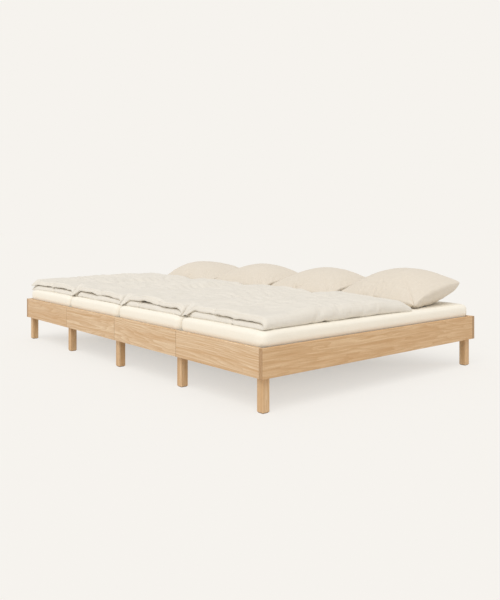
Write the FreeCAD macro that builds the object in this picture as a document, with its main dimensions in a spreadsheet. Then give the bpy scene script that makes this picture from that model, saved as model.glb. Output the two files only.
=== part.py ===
import FreeCAD, Part
import math
import os
import Sketcher
from FreeCAD import Placement, Rotation, Vector

# Family bed: four sleeping places in one row, on one oak frame with slats.
# X runs across the bed, from left to right seen from the foot. Y runs from the foot to the head, Z up.
# The origin is on the floor, under the middle of the frame. Sizes are in millimetres.

PLACES = (1, 2, 3, 4)
SEAMS = (1, 2, 3)
LEGS = (1, 2, 3, 4, 5)
SLATS = range(16)
LEDGER_SCREWS = range(6)
ENDS = {"foot": -1, "head": 1}
SIDES = {"left": -1, "right": 1}
UP = Vector(0, 0, 1)
DOWN = Vector(0, 0, -1)
ORIGIN = ("0", "0", "0")
NEARLY = 0.99
LITRE = 1e6

SIZES = {
    # sleeping places
    "place_wide": 800,
    "mattress_long": 2000,
    "mattress_thick": 168,
    "mattress_gap": 6,
    "mattress_play": 10,
    "mattress_corner": 45,
    "mattress_top_edge": 30,
    "mattress_low_edge": 12,
    "sheet_thick": 1,
    "sheet_hem": 70,
    "seat_gap": 0.3,
    # boards and rails
    "board_thick": 27,
    "board_high": 166,
    "board_ease": 2,
    "seam_gap": 1,
    # legs
    "leg_clear": 196,
    "leg_side": 50,
    "leg_ease": 3,
    "leg_chamfer": 4,
    "glide_thick": 3,
    "glide_inset": 6,
    # what carries the mattresses
    "seat_rise": 66,
    "slat_wide": 80,
    "slat_thick": 18,
    "slat_end_gap": 20,
    "slat_play": 1.5,
    "ledger_wide": 25,
    "ledger_high": 40,
    "beam_wide": 54,
    "beam_high": 58,
    "beam_end_play": 4,
    "tape_wide": 40,
    "tape_thick": 1.5,
    "tape_inset": 180,
    # bolts and inserts
    "bolt_wide": 6,
    "bolt_head_wide": 10,
    "bolt_head_high": 6,
    "bolt_key_wide": 5,
    "bolt_key_deep": 3,
    "bolt_play": 0.2,
    "bolt_low": 17,
    "bolt_step": 32,
    "bolt_off_seam": 13,
    "insert_wide": 10,
    "insert_long": 15,
    "insert_room": 3,
    # wood screws
    "screw_wide": 4,
    "screw_head_wide": 8,
    "screw_head_high": 2.5,
    "screw_play": 0.05,
    "screw_tip_room": 1,
    "ledger_screw_long": 42,
    "ledger_screw_inset": 90,
    "slat_screw_long": 38,
    "slat_screw_inset": 12,
    "slat_screw_back": 14,
    "plate_screw_long": 18,
    "hanger_screw_long": 20,
    # steel fittings
    "hanger_thick": 2.5,
    "hanger_deep": 42,
    "hanger_high": 44,
    "hanger_play": 0.3,
    "hanger_screw_low": 12,
    "hanger_screw_step": 22,
    "cheek_screw_back": 26,
    "plate_thick": 2.5,
    "plate_wide": 120,
    "plate_high": 36,
    "plate_drop": 16,
    "plate_screw_in": 18,
    # duvets, folded double
    "duvet_side_gap": 3,
    "duvet_foot_gap": 18,
    "duvet_pillow_gap": 35,
    "duvet_foot_layer": 26,
    "duvet_layer": 42,
    "duvet_head_layer": 34,
    "duvet_upper_extra": 6,
    "duvet_slit": 6,
    "duvet_crown": 10,
    "duvet_fold": 70,
    "duvet_end_round": 28,
    "duvet_rise": 330,
    "duvet_hem_fullness": 0.6,
    "duvet_end_thinness": 0.55,
    # pillows
    "pillow_side_gap": 12.5,
    "pillow_deep": 590,
    "pillow_high": 250,
    "pillow_seam_rise": 128,
    "pillow_patch_in": 122.5,
    "pillow_patch_back": 105,
    "pillow_draw_in": 26,
    "pillow_swell": 18,
    "pillow_tip_round": 22,
    "pillow_crown_round": 160,
    "pillow_crown_squareness": 0.8,
    "pillow_patch_squareness": 0.85,
    "pillow_head_gap": 22,
}

doc = FreeCAD.newDocument("family_bed")
sheet = doc.addObject("Spreadsheet::Sheet", "size")
for row, (alias, number) in enumerate(SIZES.items(), start=1):
    sheet.set(f"A{row}", str(number))
    sheet.setAlias(f"A{row}", alias)
doc.recompute()

# Sizes and levels that follow from the driving dimensions, as expressions on the sheet
INNER_WIDE = f"({len(PLACES)} * size.place_wide + 2 * size.mattress_play)"
OUTER_WIDE = f"({INNER_WIDE} + 2 * size.board_thick)"
INNER_LONG = "(size.mattress_long + 2 * size.mattress_play)"
OUTER_LONG = f"({INNER_LONG} + 2 * size.board_thick)"
SLAT_SEAT = "(size.leg_clear + size.seat_rise)"
SLAT_TOP = f"({SLAT_SEAT} + size.slat_thick)"
SLAT_STEP = f"(({INNER_LONG} - 2 * size.slat_end_gap - size.slat_wide) / {len(SLATS) - 1})"
SHEET_BASE = f"({SLAT_TOP} + size.seat_gap)"
SHEET_WIDE = "(size.place_wide - size.mattress_gap)"
SHEET_HIGH = "(size.mattress_thick + 2 * size.sheet_thick)"
MATTRESS_WIDE = f"({SHEET_WIDE} - 2 * size.sheet_thick)"
MATTRESS_LONG = "(size.mattress_long - 2 * size.sheet_thick)"
BEDDING_BASE = f"({SHEET_BASE} + {SHEET_HIGH} + size.seat_gap)"
BEAM_BASE = f"({SLAT_SEAT} - size.beam_high)"
BEAM_LONG = f"({INNER_LONG} - 2 * (size.leg_side + size.hanger_thick + size.beam_end_play))"
LEDGER_LONG = f"({INNER_LONG} - 2 * size.leg_side)"
PLATE_BASE = "(size.leg_clear + size.board_high - size.plate_drop - size.plate_high)"
BOLT_HOLE = "(size.bolt_wide / 2 + size.bolt_play)"
BOLT_HEAD_HOLE = "(size.bolt_head_wide / 2 + size.bolt_play)"
BOLT_LONG = "(size.leg_side - size.bolt_head_high + size.insert_long)"
INSERT_HOLE_DEEP = "(size.insert_long + size.insert_room)"
SCREW_HOLE = "(size.screw_wide / 2 + size.screw_play)"
SCREW_HEAD_HOLE = "(size.screw_head_wide / 2 + size.screw_play)"
PILLOW_ROOM = "(size.pillow_head_gap + size.pillow_deep)"
DUVET_LONG = f"(size.mattress_long - size.duvet_foot_gap - size.duvet_pillow_gap - {PILLOW_ROOM})"

# Where the outlines of a pillow lie between its seam and its flat patch, and between its seam and its crown
PILLOW_UNDERSIDE_ANGLES = (-90, -60, -30, 0)
PILLOW_CROWN_ANGLES = (18, 36, 54, 70, 82)


def measure(expression):
    """The number that an expression on the sheet stands for."""
    return float(sheet.evalExpression(expression))


def bind(piece, **sizes):
    """Ties properties of a piece to expressions on the sheet."""
    for name, expression in sizes.items():
        piece.setExpression(name, expression)


def put(piece, spot):
    """Ties the place of a piece to three expressions."""
    for axis, expression in zip("xyz", spot):
        piece.setExpression(f"Placement.Base.{axis}", expression)


def along(spot, direction, distance):
    """A spot moved along a row axis by an expression."""
    return tuple(f"({part} + {step:g} * {distance})" for part, step in zip(spot, direction))


def seam_x(number):
    """The line between two places, where 0 and the last number are the rows' outer edges."""
    return f"(({number} - {len(PLACES) / 2:g}) * size.place_wide)"


def place_x(place):
    """The middle of a sleeping place."""
    return f"(({place} - {(len(PLACES) + 1) / 2:g}) * size.place_wide)"


def end_y(end, inset):
    """A line so far inside the end boards' inner faces."""
    return f"({ENDS[end]} * ({INNER_LONG} / 2 - {inset}))"


def side_x(side, inset):
    """A line so far inside the side rails' inner faces."""
    return f"({SIDES[side]} * ({INNER_WIDE} / 2 - {inset}))"


def box(name, size, corner):
    """A plain box from its three sizes and its lowest corner."""
    result = doc.addObject("Part::Box", name)
    bind(result, Length=size[0], Width=size[1], Height=size[2])
    put(result, corner)
    return result


def rod(name, radius, length, start, direction):
    """A cylinder from a start point along a direction."""
    result = doc.addObject("Part::Cylinder", name)
    result.Placement = Placement(Vector(), Rotation(UP, direction))
    bind(result, Radius=radius, Height=length)
    put(result, start)
    return result


def group(name, members):
    """Several solids as one object."""
    result = doc.addObject("Part::Compound", name)
    result.Links = members
    return result


def cut(name, base, tool):
    """One solid less another."""
    result = doc.addObject("Part::Cut", name)
    result.Base = base
    result.Tool = tool
    return result


def fuse(name, base, tool):
    """Two solids as one."""
    result = doc.addObject("Part::Fuse", name)
    result.Base = base
    result.Tool = tool
    return result


def spread(name, pattern, seats):
    """Copies of one pattern, which points along +Z, at seats of a spot and a direction."""
    pattern.recompute(True)
    copies = []
    for spot, direction in seats:
        place = Placement(Vector(*(measure(part) for part in spot)), Rotation(UP, direction))
        copies.append(pattern.Shape.transformed(place.toMatrix()))
    result = doc.addObject("Part::Feature", name)
    result.Shape = Part.makeCompound(copies)
    return result


def eased(name, blank, direction):
    """A board blank with its edges along one direction eased."""
    blank.recompute()
    radius = measure("size.board_ease")
    result = doc.addObject("Part::Fillet", name)
    result.Base = blank
    edges = enumerate(blank.Shape.Edges, start=1)
    result.Edges = [(number, radius, radius) for number, edge in edges
                    if abs(edge.tangentAt(edge.FirstParameter).dot(direction)) > NEARLY]
    return result


def edge_names(shape, test):
    """Names of the edges that pass a test on the edge's box and on the height of the shape."""
    top = shape.BoundBox.ZMax
    return [f"Edge{number}" for number, edge in enumerate(shape.Edges, start=1) if test(edge.BoundBox, top)]


def upright(bounds, top):
    """Whether an edge goes up most of the height."""
    return bounds.ZLength > top / 2


def on_top(bounds, top):
    """Whether an edge lies in the top face."""
    return bounds.ZMin > NEARLY * top


def on_bottom(bounds, top):
    """Whether an edge lies in the bottom face."""
    return bounds.ZMax < (1 - NEARLY) * top


def dress(body, kind, name, size_name, size, test):
    """Adds a fillet or a chamfer on the edges of a body that pass a test."""
    body.recompute(True)
    base = body.Tip
    feature = body.newObject(f"PartDesign::{kind}", name)
    feature.Base = (base, edge_names(base.Shape, test))
    bind(feature, **{size_name: size})
    return feature


def padded_block(name, size, middle):
    """A body padded up from a rectangle around its middle."""
    body = doc.addObject("PartDesign::Body", name)
    outline = body.newObject("Sketcher::SketchObject", f"{name}_outline")
    floor = next(plane for plane in body.Origin.OriginFeatures if plane.Role == "XY_Plane")
    outline.AttachmentSupport = [(floor, "")]
    outline.MapMode = "FlatFace"
    wide = measure(size[0]) / 2
    deep = measure(size[1]) / 2
    corners = [Vector(-wide, -deep), Vector(wide, -deep), Vector(wide, deep), Vector(-wide, deep)]
    for start, stop in zip(corners, corners[1:] + corners[:1]):
        outline.addGeometry(Part.LineSegment(start, stop))
    for line in range(4):
        outline.addConstraint(Sketcher.Constraint("Coincident", line, 2, (line + 1) % 4, 1))
    for line in (0, 2):
        outline.addConstraint(Sketcher.Constraint("Horizontal", line))
        outline.addConstraint(Sketcher.Constraint("Vertical", line + 1))
    outline.addConstraint(Sketcher.Constraint("Symmetric", 0, 1, 1, 2, -1, 1))
    wide_rule = outline.addConstraint(Sketcher.Constraint("DistanceX", 0, 1, 0, 2, 2 * wide))
    deep_rule = outline.addConstraint(Sketcher.Constraint("DistanceY", 1, 1, 1, 2, 2 * deep))
    outline.setExpression(f"Constraints[{wide_rule}]", size[0])
    outline.setExpression(f"Constraints[{deep_rule}]", size[1])
    pad = body.newObject("PartDesign::Pad", f"{name}_pad")
    pad.Profile = outline
    bind(pad, Length=size[2])
    put(body, middle)
    return body


bores = {}
pieces = []


def drill(piece, radius, depth, start, direction):
    """Notes a hole that a piece gets."""
    holes = bores.setdefault(piece, [])
    holes.append(rod(f"{piece}_hole_{len(holes) + 1}", radius, depth, start, direction))


def drilled(piece, blank):
    """A blank with the holes that were noted for its piece."""
    if piece not in bores:
        return blank
    return cut(f"{piece}_drilled", blank, group(f"{piece}_holes", bores[piece]))


def keep(label, result):
    """Names a finished sub-part."""
    result.Label = label
    pieces.append(result)


# Bolts: each goes from the inner face of a leg through the leg into an insert in a board or rail.
def leg_x(number):
    """The middle of a leg: the outer legs stand against the rails, the others at the seams."""
    if number == LEGS[0]:
        return side_x("left", "size.leg_side / 2")
    if number == LEGS[-1]:
        return side_x("right", "size.leg_side / 2")
    return seam_x(number - 1)


def bolt_lines(end, number):
    """For each bolt of a leg: the piece it holds, its mouth on the leg's inner face and its direction."""
    inner_y = end_y(end, "size.leg_side")
    heights = [f"(size.leg_clear + size.bolt_low + {step} * size.bolt_step)" for step in (0, 1)]
    to_end = Vector(0, ENDS[end], 0)
    if number in (LEGS[0], LEGS[-1]):
        side = "left" if number == LEGS[0] else "right"
        board = f"{end}_board_{PLACES[0] if side == 'left' else PLACES[-1]}"
        for height in heights:
            yield board, (leg_x(number), inner_y, height), to_end
        middle = "(size.leg_clear + size.bolt_low + size.bolt_step / 2)"
        mouth = (side_x(side, "size.leg_side"), end_y(end, "size.leg_side / 2"), middle)
        yield f"side_rail_{side}", mouth, Vector(SIDES[side], 0, 0)
        return
    for place, way in ((number - 1, -1), (number, 1)):
        for height in heights:
            mouth = (f"({leg_x(number)} + {way} * size.bolt_off_seam)", inner_y, height)
            yield f"{end}_board_{place}", mouth, to_end


bolt_seats = []
insert_seats = []
for end in ENDS:
    for number in LEGS:
        leg = f"{end}_leg_{number}"
        for board, mouth, direction in bolt_lines(end, number):
            seat = along(mouth, direction, "size.bolt_head_high")
            drill(leg, BOLT_HEAD_HOLE, "size.bolt_head_high", mouth, direction)
            drill(leg, BOLT_HOLE, "(size.leg_side - size.bolt_head_high)", seat, direction)
            bolt_seats.append((seat, direction))
            board_face = along(mouth, direction, "size.leg_side")
            drill(board, "size.insert_wide / 2", INSERT_HOLE_DEEP, board_face, direction)
            insert_seats.append((board_face, direction))


# Wood screws hold ledgers to rails, end slats to what carries them, seam plates to boards,
# and hangers to legs and beams.
def screw_into(piece, through, length, mouth, direction):
    """The pilot hole that a screw of a length takes behind the piece that its head is on."""
    depth = f"({length} - {through} + size.screw_tip_room)"
    drill(piece, SCREW_HOLE, depth, along(mouth, direction, through), direction)


ledger_seats = []
for side, way in SIDES.items():
    for number in LEDGER_SCREWS:
        share = number / (len(LEDGER_SCREWS) - 1) - 0.5
        y = f"({share:g} * ({LEDGER_LONG} - 2 * size.ledger_screw_inset))"
        mouth = (side_x(side, "size.ledger_wide"), y, f"({SLAT_SEAT} - size.ledger_high / 2)")
        direction = Vector(way, 0, 0)
        drill(f"slat_ledger_{side}", SCREW_HOLE, "size.ledger_wide", mouth, direction)
        screw_into(f"side_rail_{side}", "size.ledger_wide", "size.ledger_screw_long", mouth, direction)
        ledger_seats.append((mouth, direction))


def slat_left(place):
    """The left end of a place's slats."""
    if place == PLACES[0]:
        return side_x("left", "size.slat_play")
    return f"({seam_x(place - 1)} + size.slat_play)"


def slat_right(place):
    """The right end of a place's slats."""
    if place == PLACES[-1]:
        return side_x("right", "size.slat_play")
    return f"({seam_x(place)} - size.slat_play)"


def slat_y(number):
    """The foot edge of a slat."""
    return f"(-{INNER_LONG} / 2 + size.slat_end_gap + {number} * {SLAT_STEP})"


def slat_carrier(seam):
    """What a slat rests on at a seam or at the outer edges of the row."""
    return {0: "slat_ledger_left", len(PLACES): "slat_ledger_right"}.get(seam, f"centre_beam_{seam}")


slat_seats = []
for place in PLACES:
    for end, number in (("foot", SLATS[0]), ("head", SLATS[-1])):
        slat_inner = f"({slat_y(number)} + {int(end == 'foot')} * size.slat_wide)"
        y = f"({slat_inner} + {ENDS[end]} * size.slat_screw_back)"
        for seam, edge, way in ((place - 1, slat_left(place), 1), (place, slat_right(place), -1)):
            mouth = (f"({edge} + {way} * size.slat_screw_inset)", y, SLAT_TOP)
            slat = f"slats_{place}_{number}"
            seat = along(mouth, DOWN, "size.screw_head_high")
            left_in_slat = "(size.slat_thick - size.screw_head_high)"
            drill(slat, SCREW_HEAD_HOLE, "size.screw_head_high", mouth, DOWN)
            drill(slat, SCREW_HOLE, left_in_slat, seat, DOWN)
            screw_into(slat_carrier(seam), left_in_slat, "size.slat_screw_long", seat, DOWN)
            slat_seats.append((seat, DOWN))

plate_seats = []
for end, way in ENDS.items():
    direction = Vector(0, way, 0)
    for seam in SEAMS:
        for side, place in ((-1, seam), (1, seam + 1)):
            for level in (0, 1):
                z = f"({PLATE_BASE} + size.plate_high / 4 + {level} * size.plate_high / 2)"
                x = f"({seam_x(seam)} + {side} * (size.plate_wide / 2 - size.plate_screw_in))"
                mouth = (x, end_y(end, "size.plate_thick"), z)
                drill(f"seam_plate_{end}_{seam}", SCREW_HOLE, "size.plate_thick", mouth, direction)
                board = f"{end}_board_{place}"
                screw_into(board, "size.plate_thick", "size.plate_screw_long", mouth, direction)
                plate_seats.append((mouth, direction))

hanger_seats = []
for end, way in ENDS.items():
    direction = Vector(0, way, 0)
    for seam in SEAMS:
        hanger = f"hanger_{end}_{seam}"
        for step in (0, 1):
            z = f"({BEAM_BASE} + size.hanger_screw_low + {step} * size.hanger_screw_step)"
            mouth = (seam_x(seam), end_y(end, "(size.leg_side + size.hanger_thick)"), z)
            drill(hanger, SCREW_HOLE, "size.hanger_thick", mouth, direction)
            leg = f"{end}_leg_{seam + 1}"
            screw_into(leg, "size.hanger_thick", "size.hanger_screw_long", mouth, direction)
            hanger_seats.append((mouth, direction))
        for side in (-1, 1):
            across = Vector(-side, 0, 0)
            half = "(size.beam_wide / 2 + size.hanger_play + size.hanger_thick)"
            y = end_y(end, "(size.leg_side + size.cheek_screw_back)")
            z = f"({BEAM_BASE} + size.hanger_high / 2)"
            mouth = (f"({seam_x(seam)} + {side} * {half})", y, z)
            drill(hanger, SCREW_HOLE, "size.hanger_thick", mouth, across)
            through = "(size.hanger_thick + size.hanger_play)"
            screw_into(f"centre_beam_{seam}", through, "size.hanger_screw_long", mouth, across)
            hanger_seats.append((mouth, across))

# Boards: the foot boards lie between the rails, the head boards run past the ends of the rails.
for end in ENDS:
    reach = {"foot": INNER_WIDE, "head": OUTER_WIDE}[end]
    low_y = {"foot": f"(-{OUTER_LONG} / 2)", "head": f"({INNER_LONG} / 2)"}[end]
    for place in PLACES:
        left = f"(-{reach} / 2)" if place == PLACES[0] else f"({seam_x(place - 1)} + size.seam_gap / 2)"
        right = f"({reach} / 2)" if place == PLACES[-1] else f"({seam_x(place)} - size.seam_gap / 2)"
        name = f"{end}_board_{place}"
        size = (f"({right} - {left})", "size.board_thick", "size.board_high")
        blank = box(f"{name}_blank", size, (left, low_y, "size.leg_clear"))
        keep(name, drilled(name, eased(f"{name}_eased", blank, Vector(1, 0, 0))))

for side in SIDES:
    name = f"side_rail_{side}"
    low_x = {"left": f"(-{OUTER_WIDE} / 2)", "right": f"({INNER_WIDE} / 2)"}[side]
    size = ("size.board_thick", f"({OUTER_LONG} - size.board_thick)", "size.board_high")
    blank = box(f"{name}_blank", size, (low_x, f"(-{OUTER_LONG} / 2)", "size.leg_clear"))
    keep(name, drilled(name, eased(f"{name}_eased", blank, Vector(0, 1, 0))))

# Legs: square posts behind the boards, from the felt glides up to the slats.
glides = []
for end in ENDS:
    for number in LEGS:
        name = f"{end}_leg_{number}"
        middle_y = end_y(end, "size.leg_side / 2")
        size = ("size.leg_side", "size.leg_side", f"({SLAT_SEAT} - size.glide_thick)")
        post = padded_block(f"{name}_post", size, (leg_x(number), middle_y, "size.glide_thick"))
        dress(post, "Chamfer", f"{name}_chamfer", "Size", "size.leg_chamfer", on_bottom)
        dress(post, "Fillet", f"{name}_ease", "Radius", "size.leg_ease", upright)
        keep(name, drilled(name, post))
        glide_side = "(size.leg_side - 2 * size.glide_inset)"
        corner = (f"({leg_x(number)} - {glide_side} / 2)", f"({middle_y} - {glide_side} / 2)", "0")
        glides.append(box(f"glide_{end}_{number}", (glide_side, glide_side, "size.glide_thick"), corner))
keep("felt_glides", group("felt_glide_set", glides))

# What carries the mattresses: ledgers on the rails, beams under the seams, slats and their tapes.
for side in SIDES:
    name = f"slat_ledger_{side}"
    low_x = {"left": f"(-{INNER_WIDE} / 2)", "right": f"({INNER_WIDE} / 2 - size.ledger_wide)"}[side]
    corner = (low_x, f"(-{LEDGER_LONG} / 2)", f"({SLAT_SEAT} - size.ledger_high)")
    blank = box(f"{name}_blank", ("size.ledger_wide", LEDGER_LONG, "size.ledger_high"), corner)
    keep(name, drilled(name, blank))

for seam in SEAMS:
    name = f"centre_beam_{seam}"
    corner = (f"({seam_x(seam)} - size.beam_wide / 2)", f"(-{BEAM_LONG} / 2)", BEAM_BASE)
    blank = box(f"{name}_blank", ("size.beam_wide", BEAM_LONG, "size.beam_high"), corner)
    keep(name, drilled(name, blank))

for place in PLACES:
    slats = []
    for number in SLATS:
        name = f"slats_{place}_{number}"
        size = (f"({slat_right(place)} - {slat_left(place)})", "size.slat_wide", "size.slat_thick")
        blank = box(f"{name}_blank", size, (slat_left(place), slat_y(number), SLAT_SEAT))
        slats.append(drilled(name, blank))
    keep(f"slats_{place}", group(f"slat_roll_{place}", slats))
    tapes = []
    tape = ("size.tape_wide", f"({INNER_LONG} - 2 * size.slat_end_gap)", "size.tape_thick")
    for side, way in SIDES.items():
        middle = f"({place_x(place)} + {way} * (size.place_wide / 2 - size.tape_inset))"
        corner = (f"({middle} - {tape[0]} / 2)", f"(-{tape[1]} / 2)", f"({SLAT_SEAT} - {tape[2]})")
        tapes.append(box(f"tape_{place}_{side}", tape, corner))
    keep(f"slat_tapes_{place}", group(f"tape_pair_{place}", tapes))

# Fasteners: a pattern of each points along +Z from the plane that its head bears on.
def screw_pattern(name, length):
    """A round-headed screw with a plain shank."""
    head = rod(f"{name}_head", "size.screw_head_wide / 2", "size.screw_head_high", ORIGIN, DOWN)
    return fuse(name, head, rod(f"{name}_shank", "size.screw_wide / 2", length, ORIGIN, UP))


bolt_head = rod("bolt_head", "size.bolt_head_wide / 2", "size.bolt_head_high", ORIGIN, DOWN)
bolt_key = doc.addObject("Part::Prism", "bolt_key")
bind(bolt_key, Circumradius="size.bolt_key_wide / sqrt(3)", Height="size.bolt_key_deep")
put(bolt_key, ("0", "0", "-size.bolt_head_high"))
bolt_shank = rod("bolt_shank", "size.bolt_wide / 2", BOLT_LONG, ORIGIN, UP)
bolt = fuse("bolt", cut("bolt_socket_head", bolt_head, bolt_key), bolt_shank)
keep("frame_bolts", spread("frame_bolt_set", bolt, bolt_seats))

insert_wall = rod("insert_wall", "size.insert_wide / 2", "size.insert_long", ORIGIN, UP)
insert_bore = rod("insert_bore", "(size.bolt_wide / 2 + size.screw_play)", "size.insert_long", ORIGIN, UP)
insert = cut("insert", insert_wall, insert_bore)
keep("threaded_inserts", spread("threaded_insert_set", insert, insert_seats))

for label, length, seats in (
    ("ledger_screws", "size.ledger_screw_long", ledger_seats),
    ("slat_screws", "size.slat_screw_long", slat_seats),
    ("seam_plate_screws", "size.plate_screw_long", plate_seats),
    ("hanger_screws", "size.hanger_screw_long", hanger_seats),
):
    keep(label, spread(f"{label}_set", screw_pattern(f"{label}_pattern", length), seats))

# Steel fittings: a shoe under each beam end and a plate across each seam between two boards.
hangers = []
plates = []
for end in ENDS:
    for seam in SEAMS:
        name = f"hanger_{end}_{seam}"
        wide = "(size.beam_wide + 2 * size.hanger_play + 2 * size.hanger_thick)"
        inner_y = end_y(end, "size.leg_side")
        shoe_y = inner_y if end == "foot" else f"({inner_y} - size.hanger_deep)"
        trough_y = f"({shoe_y} + size.hanger_thick)" if end == "foot" else shoe_y
        low_z = f"({BEAM_BASE} - size.hanger_thick)"
        low_x = f"({seam_x(seam)} - {wide} / 2)"
        size = (wide, "size.hanger_deep", "size.hanger_high")
        shoe = box(f"{name}_shoe", size, (low_x, shoe_y, low_z))
        room_wide = f"({wide} - 2 * size.hanger_thick)"
        room = (room_wide, "(size.hanger_deep - size.hanger_thick)", "size.hanger_high")
        trough = box(f"{name}_trough", room, (f"({low_x} + size.hanger_thick)", trough_y, BEAM_BASE))
        hangers.append(drilled(name, cut(f"{name}_bent", shoe, trough)))
        name = f"seam_plate_{end}_{seam}"
        plate_y = f"(-{INNER_LONG} / 2)" if end == "foot" else f"({INNER_LONG} / 2 - size.plate_thick)"
        corner = (f"({seam_x(seam)} - size.plate_wide / 2)", plate_y, PLATE_BASE)
        size = ("size.plate_wide", "size.plate_thick", "size.plate_high")
        plates.append(drilled(name, box(f"{name}_blank", size, corner)))
keep("beam_hangers", group("beam_hanger_set", hangers))
keep("seam_plates", group("seam_plate_set", plates))

# Mattresses, each in a fitted sheet whose hem goes round under the edges.
for place in PLACES:
    name = f"mattress_{place}"
    middle = (place_x(place), "0", f"({SHEET_BASE} + size.sheet_thick)")
    size = (MATTRESS_WIDE, MATTRESS_LONG, "size.mattress_thick")
    core = padded_block(f"{name}_core", size, middle)
    dress(core, "Fillet", f"{name}_corner", "Radius", "size.mattress_corner", upright)
    dress(core, "Fillet", f"{name}_top_edge", "Radius", "size.mattress_top_edge", on_top)
    dress(core, "Fillet", f"{name}_low_edge", "Radius", "size.mattress_low_edge", on_bottom)
    keep(name, core)
    name = f"fitted_sheet_{place}"
    size = (SHEET_WIDE, "size.mattress_long", SHEET_HIGH)
    skin = padded_block(f"{name}_skin", size, (place_x(place), "0", SHEET_BASE))
    for edge, test in (("corner", upright), ("top_edge", on_top), ("low_edge", on_bottom)):
        radius = f"(size.mattress_{edge} + size.sheet_thick)"
        dress(skin, "Fillet", f"{name}_{edge}", "Radius", radius, test)
    open_wide = f"({SHEET_WIDE} - 2 * size.sheet_hem)"
    open_long = "(size.mattress_long - 2 * size.sheet_hem)"
    corner = (f"({place_x(place)} - {open_wide} / 2)", f"(-{open_long} / 2)", SHEET_BASE)
    mouth = box(f"{name}_mouth", (open_wide, open_long, f"({SHEET_HIGH} / 2)"), corner)
    keep(name, cut(f"{name}_shell", skin, fuse(f"{name}_inside", core, mouth)))


# Duvets: each is folded double along its length, with the fold to the right and a slit between its layers.
def arc(start, middle, stop):
    """A round edge through three points."""
    return Part.Arc(start, middle, stop).toShape()


def duvet_section(y, lower):
    """The outline of the folded duvet across the bed, at a distance from its foot edge."""
    half = measure("size.place_wide / 2 - size.duvet_side_gap")
    slit = measure("size.duvet_slit")
    fold = measure("size.duvet_fold")
    upper = lower + measure("size.duvet_upper_extra")
    high = lower + slit + upper
    hem = measure("size.duvet_hem_fullness")

    def at(x, z):
        """A point of this outline."""
        return Vector(x, y, z)

    low_hem = -half + hem * lower / 2
    high_hem = -half + hem * upper / 2
    turn = half - high / 2
    slit_end = half - fold
    slit_tip = slit_end + hem * slit / 2
    quarter = high / 2 * math.sqrt(0.5)
    return Part.Wire([
        Part.LineSegment(at(low_hem, 0), at(turn, 0)).toShape(),
        arc(at(turn, 0), at(turn + quarter, high / 2 - quarter), at(half, high / 2)),
        arc(at(half, high / 2), at(turn + quarter, high / 2 + quarter), at(turn, high)),
        arc(at(turn, high), at(0, high + measure("size.duvet_crown")), at(high_hem, high)),
        arc(at(high_hem, high), at(-half, high - upper / 2), at(high_hem, high - upper)),
        Part.LineSegment(at(high_hem, lower + slit), at(slit_end, lower + slit)).toShape(),
        arc(at(slit_end, lower + slit), at(slit_tip, lower + slit / 2), at(slit_end, lower)),
        Part.LineSegment(at(slit_end, lower), at(low_hem, lower)).toShape(),
        arc(at(low_hem, lower), at(-half, lower / 2), at(low_hem, 0)),
    ])


def duvet_form():
    """The folded duvet, thin at its foot edge, full along the middle and softer at its head edge."""
    long = measure(DUVET_LONG)
    foot_layer = measure("size.duvet_foot_layer")
    full_layer = measure("size.duvet_layer")
    head_layer = measure("size.duvet_head_layer")
    end_round = measure("size.duvet_end_round")
    rise = measure("size.duvet_rise")
    edge = measure("size.duvet_end_thinness")
    stations = [
        (0, edge * foot_layer),
        (end_round, foot_layer),
        (rise, full_layer),
        (long - rise, full_layer),
        (long - end_round, head_layer),
        (long, edge * head_layer),
    ]
    return Part.makeLoft([duvet_section(y, layer) for y, layer in stations], True, True)


# Pillows: plump, with a seam round the middle whose sides draw in between the corners.
def pillow_outline(half_wide, half_deep, corner, draw_in, z):
    """A four-cornered outline with rounded corners, at a height above the mattress."""
    bend = corner * (1 - math.sqrt(0.5))
    edges = []
    for quarter in range(4):
        wide, deep = (half_wide, half_deep) if quarter % 2 == 0 else (half_deep, half_wide)
        turn = Rotation(UP, 90 * quarter)
        knots = [
            Vector(wide, corner - deep, z),
            Vector(wide - draw_in, 0, z),
            Vector(wide, deep - corner, z),
            Vector(wide - bend, deep - bend, z),
            Vector(wide - corner, deep, z),
        ]
        knots = [turn.multVec(knot) for knot in knots]
        edges.append(arc(*knots[:3]))
        edges.append(arc(*knots[2:]))
    return Part.Wire(edges)


def pillow_form():
    """The pillow from its flat patch on the mattress, past its seam and over its crown."""
    half = [measure("size.place_wide / 2 - size.pillow_side_gap"), measure("size.pillow_deep / 2")]
    patch = [half[0] - measure("size.pillow_patch_in"), half[1] - measure("size.pillow_patch_back")]
    seam_rise = measure("size.pillow_seam_rise")
    crown_rise = measure("size.pillow_high - size.pillow_seam_rise")
    draw_in = measure("size.pillow_draw_in")
    swell = measure("size.pillow_swell")
    tip = measure("size.pillow_tip_round")
    crown_round = measure("size.pillow_crown_round")
    squareness = measure("size.pillow_crown_squareness")
    patch_round = min(crown_round, measure("size.pillow_patch_squareness") * min(patch))
    outlines = []
    for angle in PILLOW_UNDERSIDE_ANGLES:
        spread_out = math.cos(math.radians(angle))
        sizes = [low + (far - low) * spread_out for low, far in zip(patch, half)]
        corner = patch_round + (tip - patch_round) * spread_out
        z = seam_rise * (1 + math.sin(math.radians(angle)))
        outlines.append(pillow_outline(*sizes, corner, draw_in * spread_out - swell * (1 - spread_out), z))
    for angle in PILLOW_CROWN_ANGLES:
        spread_out = math.cos(math.radians(angle)) ** squareness
        sizes = [far * spread_out for far in half]
        corner = min(crown_round, squareness * min(sizes)) * (1 - spread_out) + tip * spread_out
        z = seam_rise + crown_rise * math.sin(math.radians(angle))
        outlines.append(pillow_outline(*sizes, corner, draw_in * spread_out - swell * (1 - spread_out), z))
    return Part.makeLoft(outlines, True, True)


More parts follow.
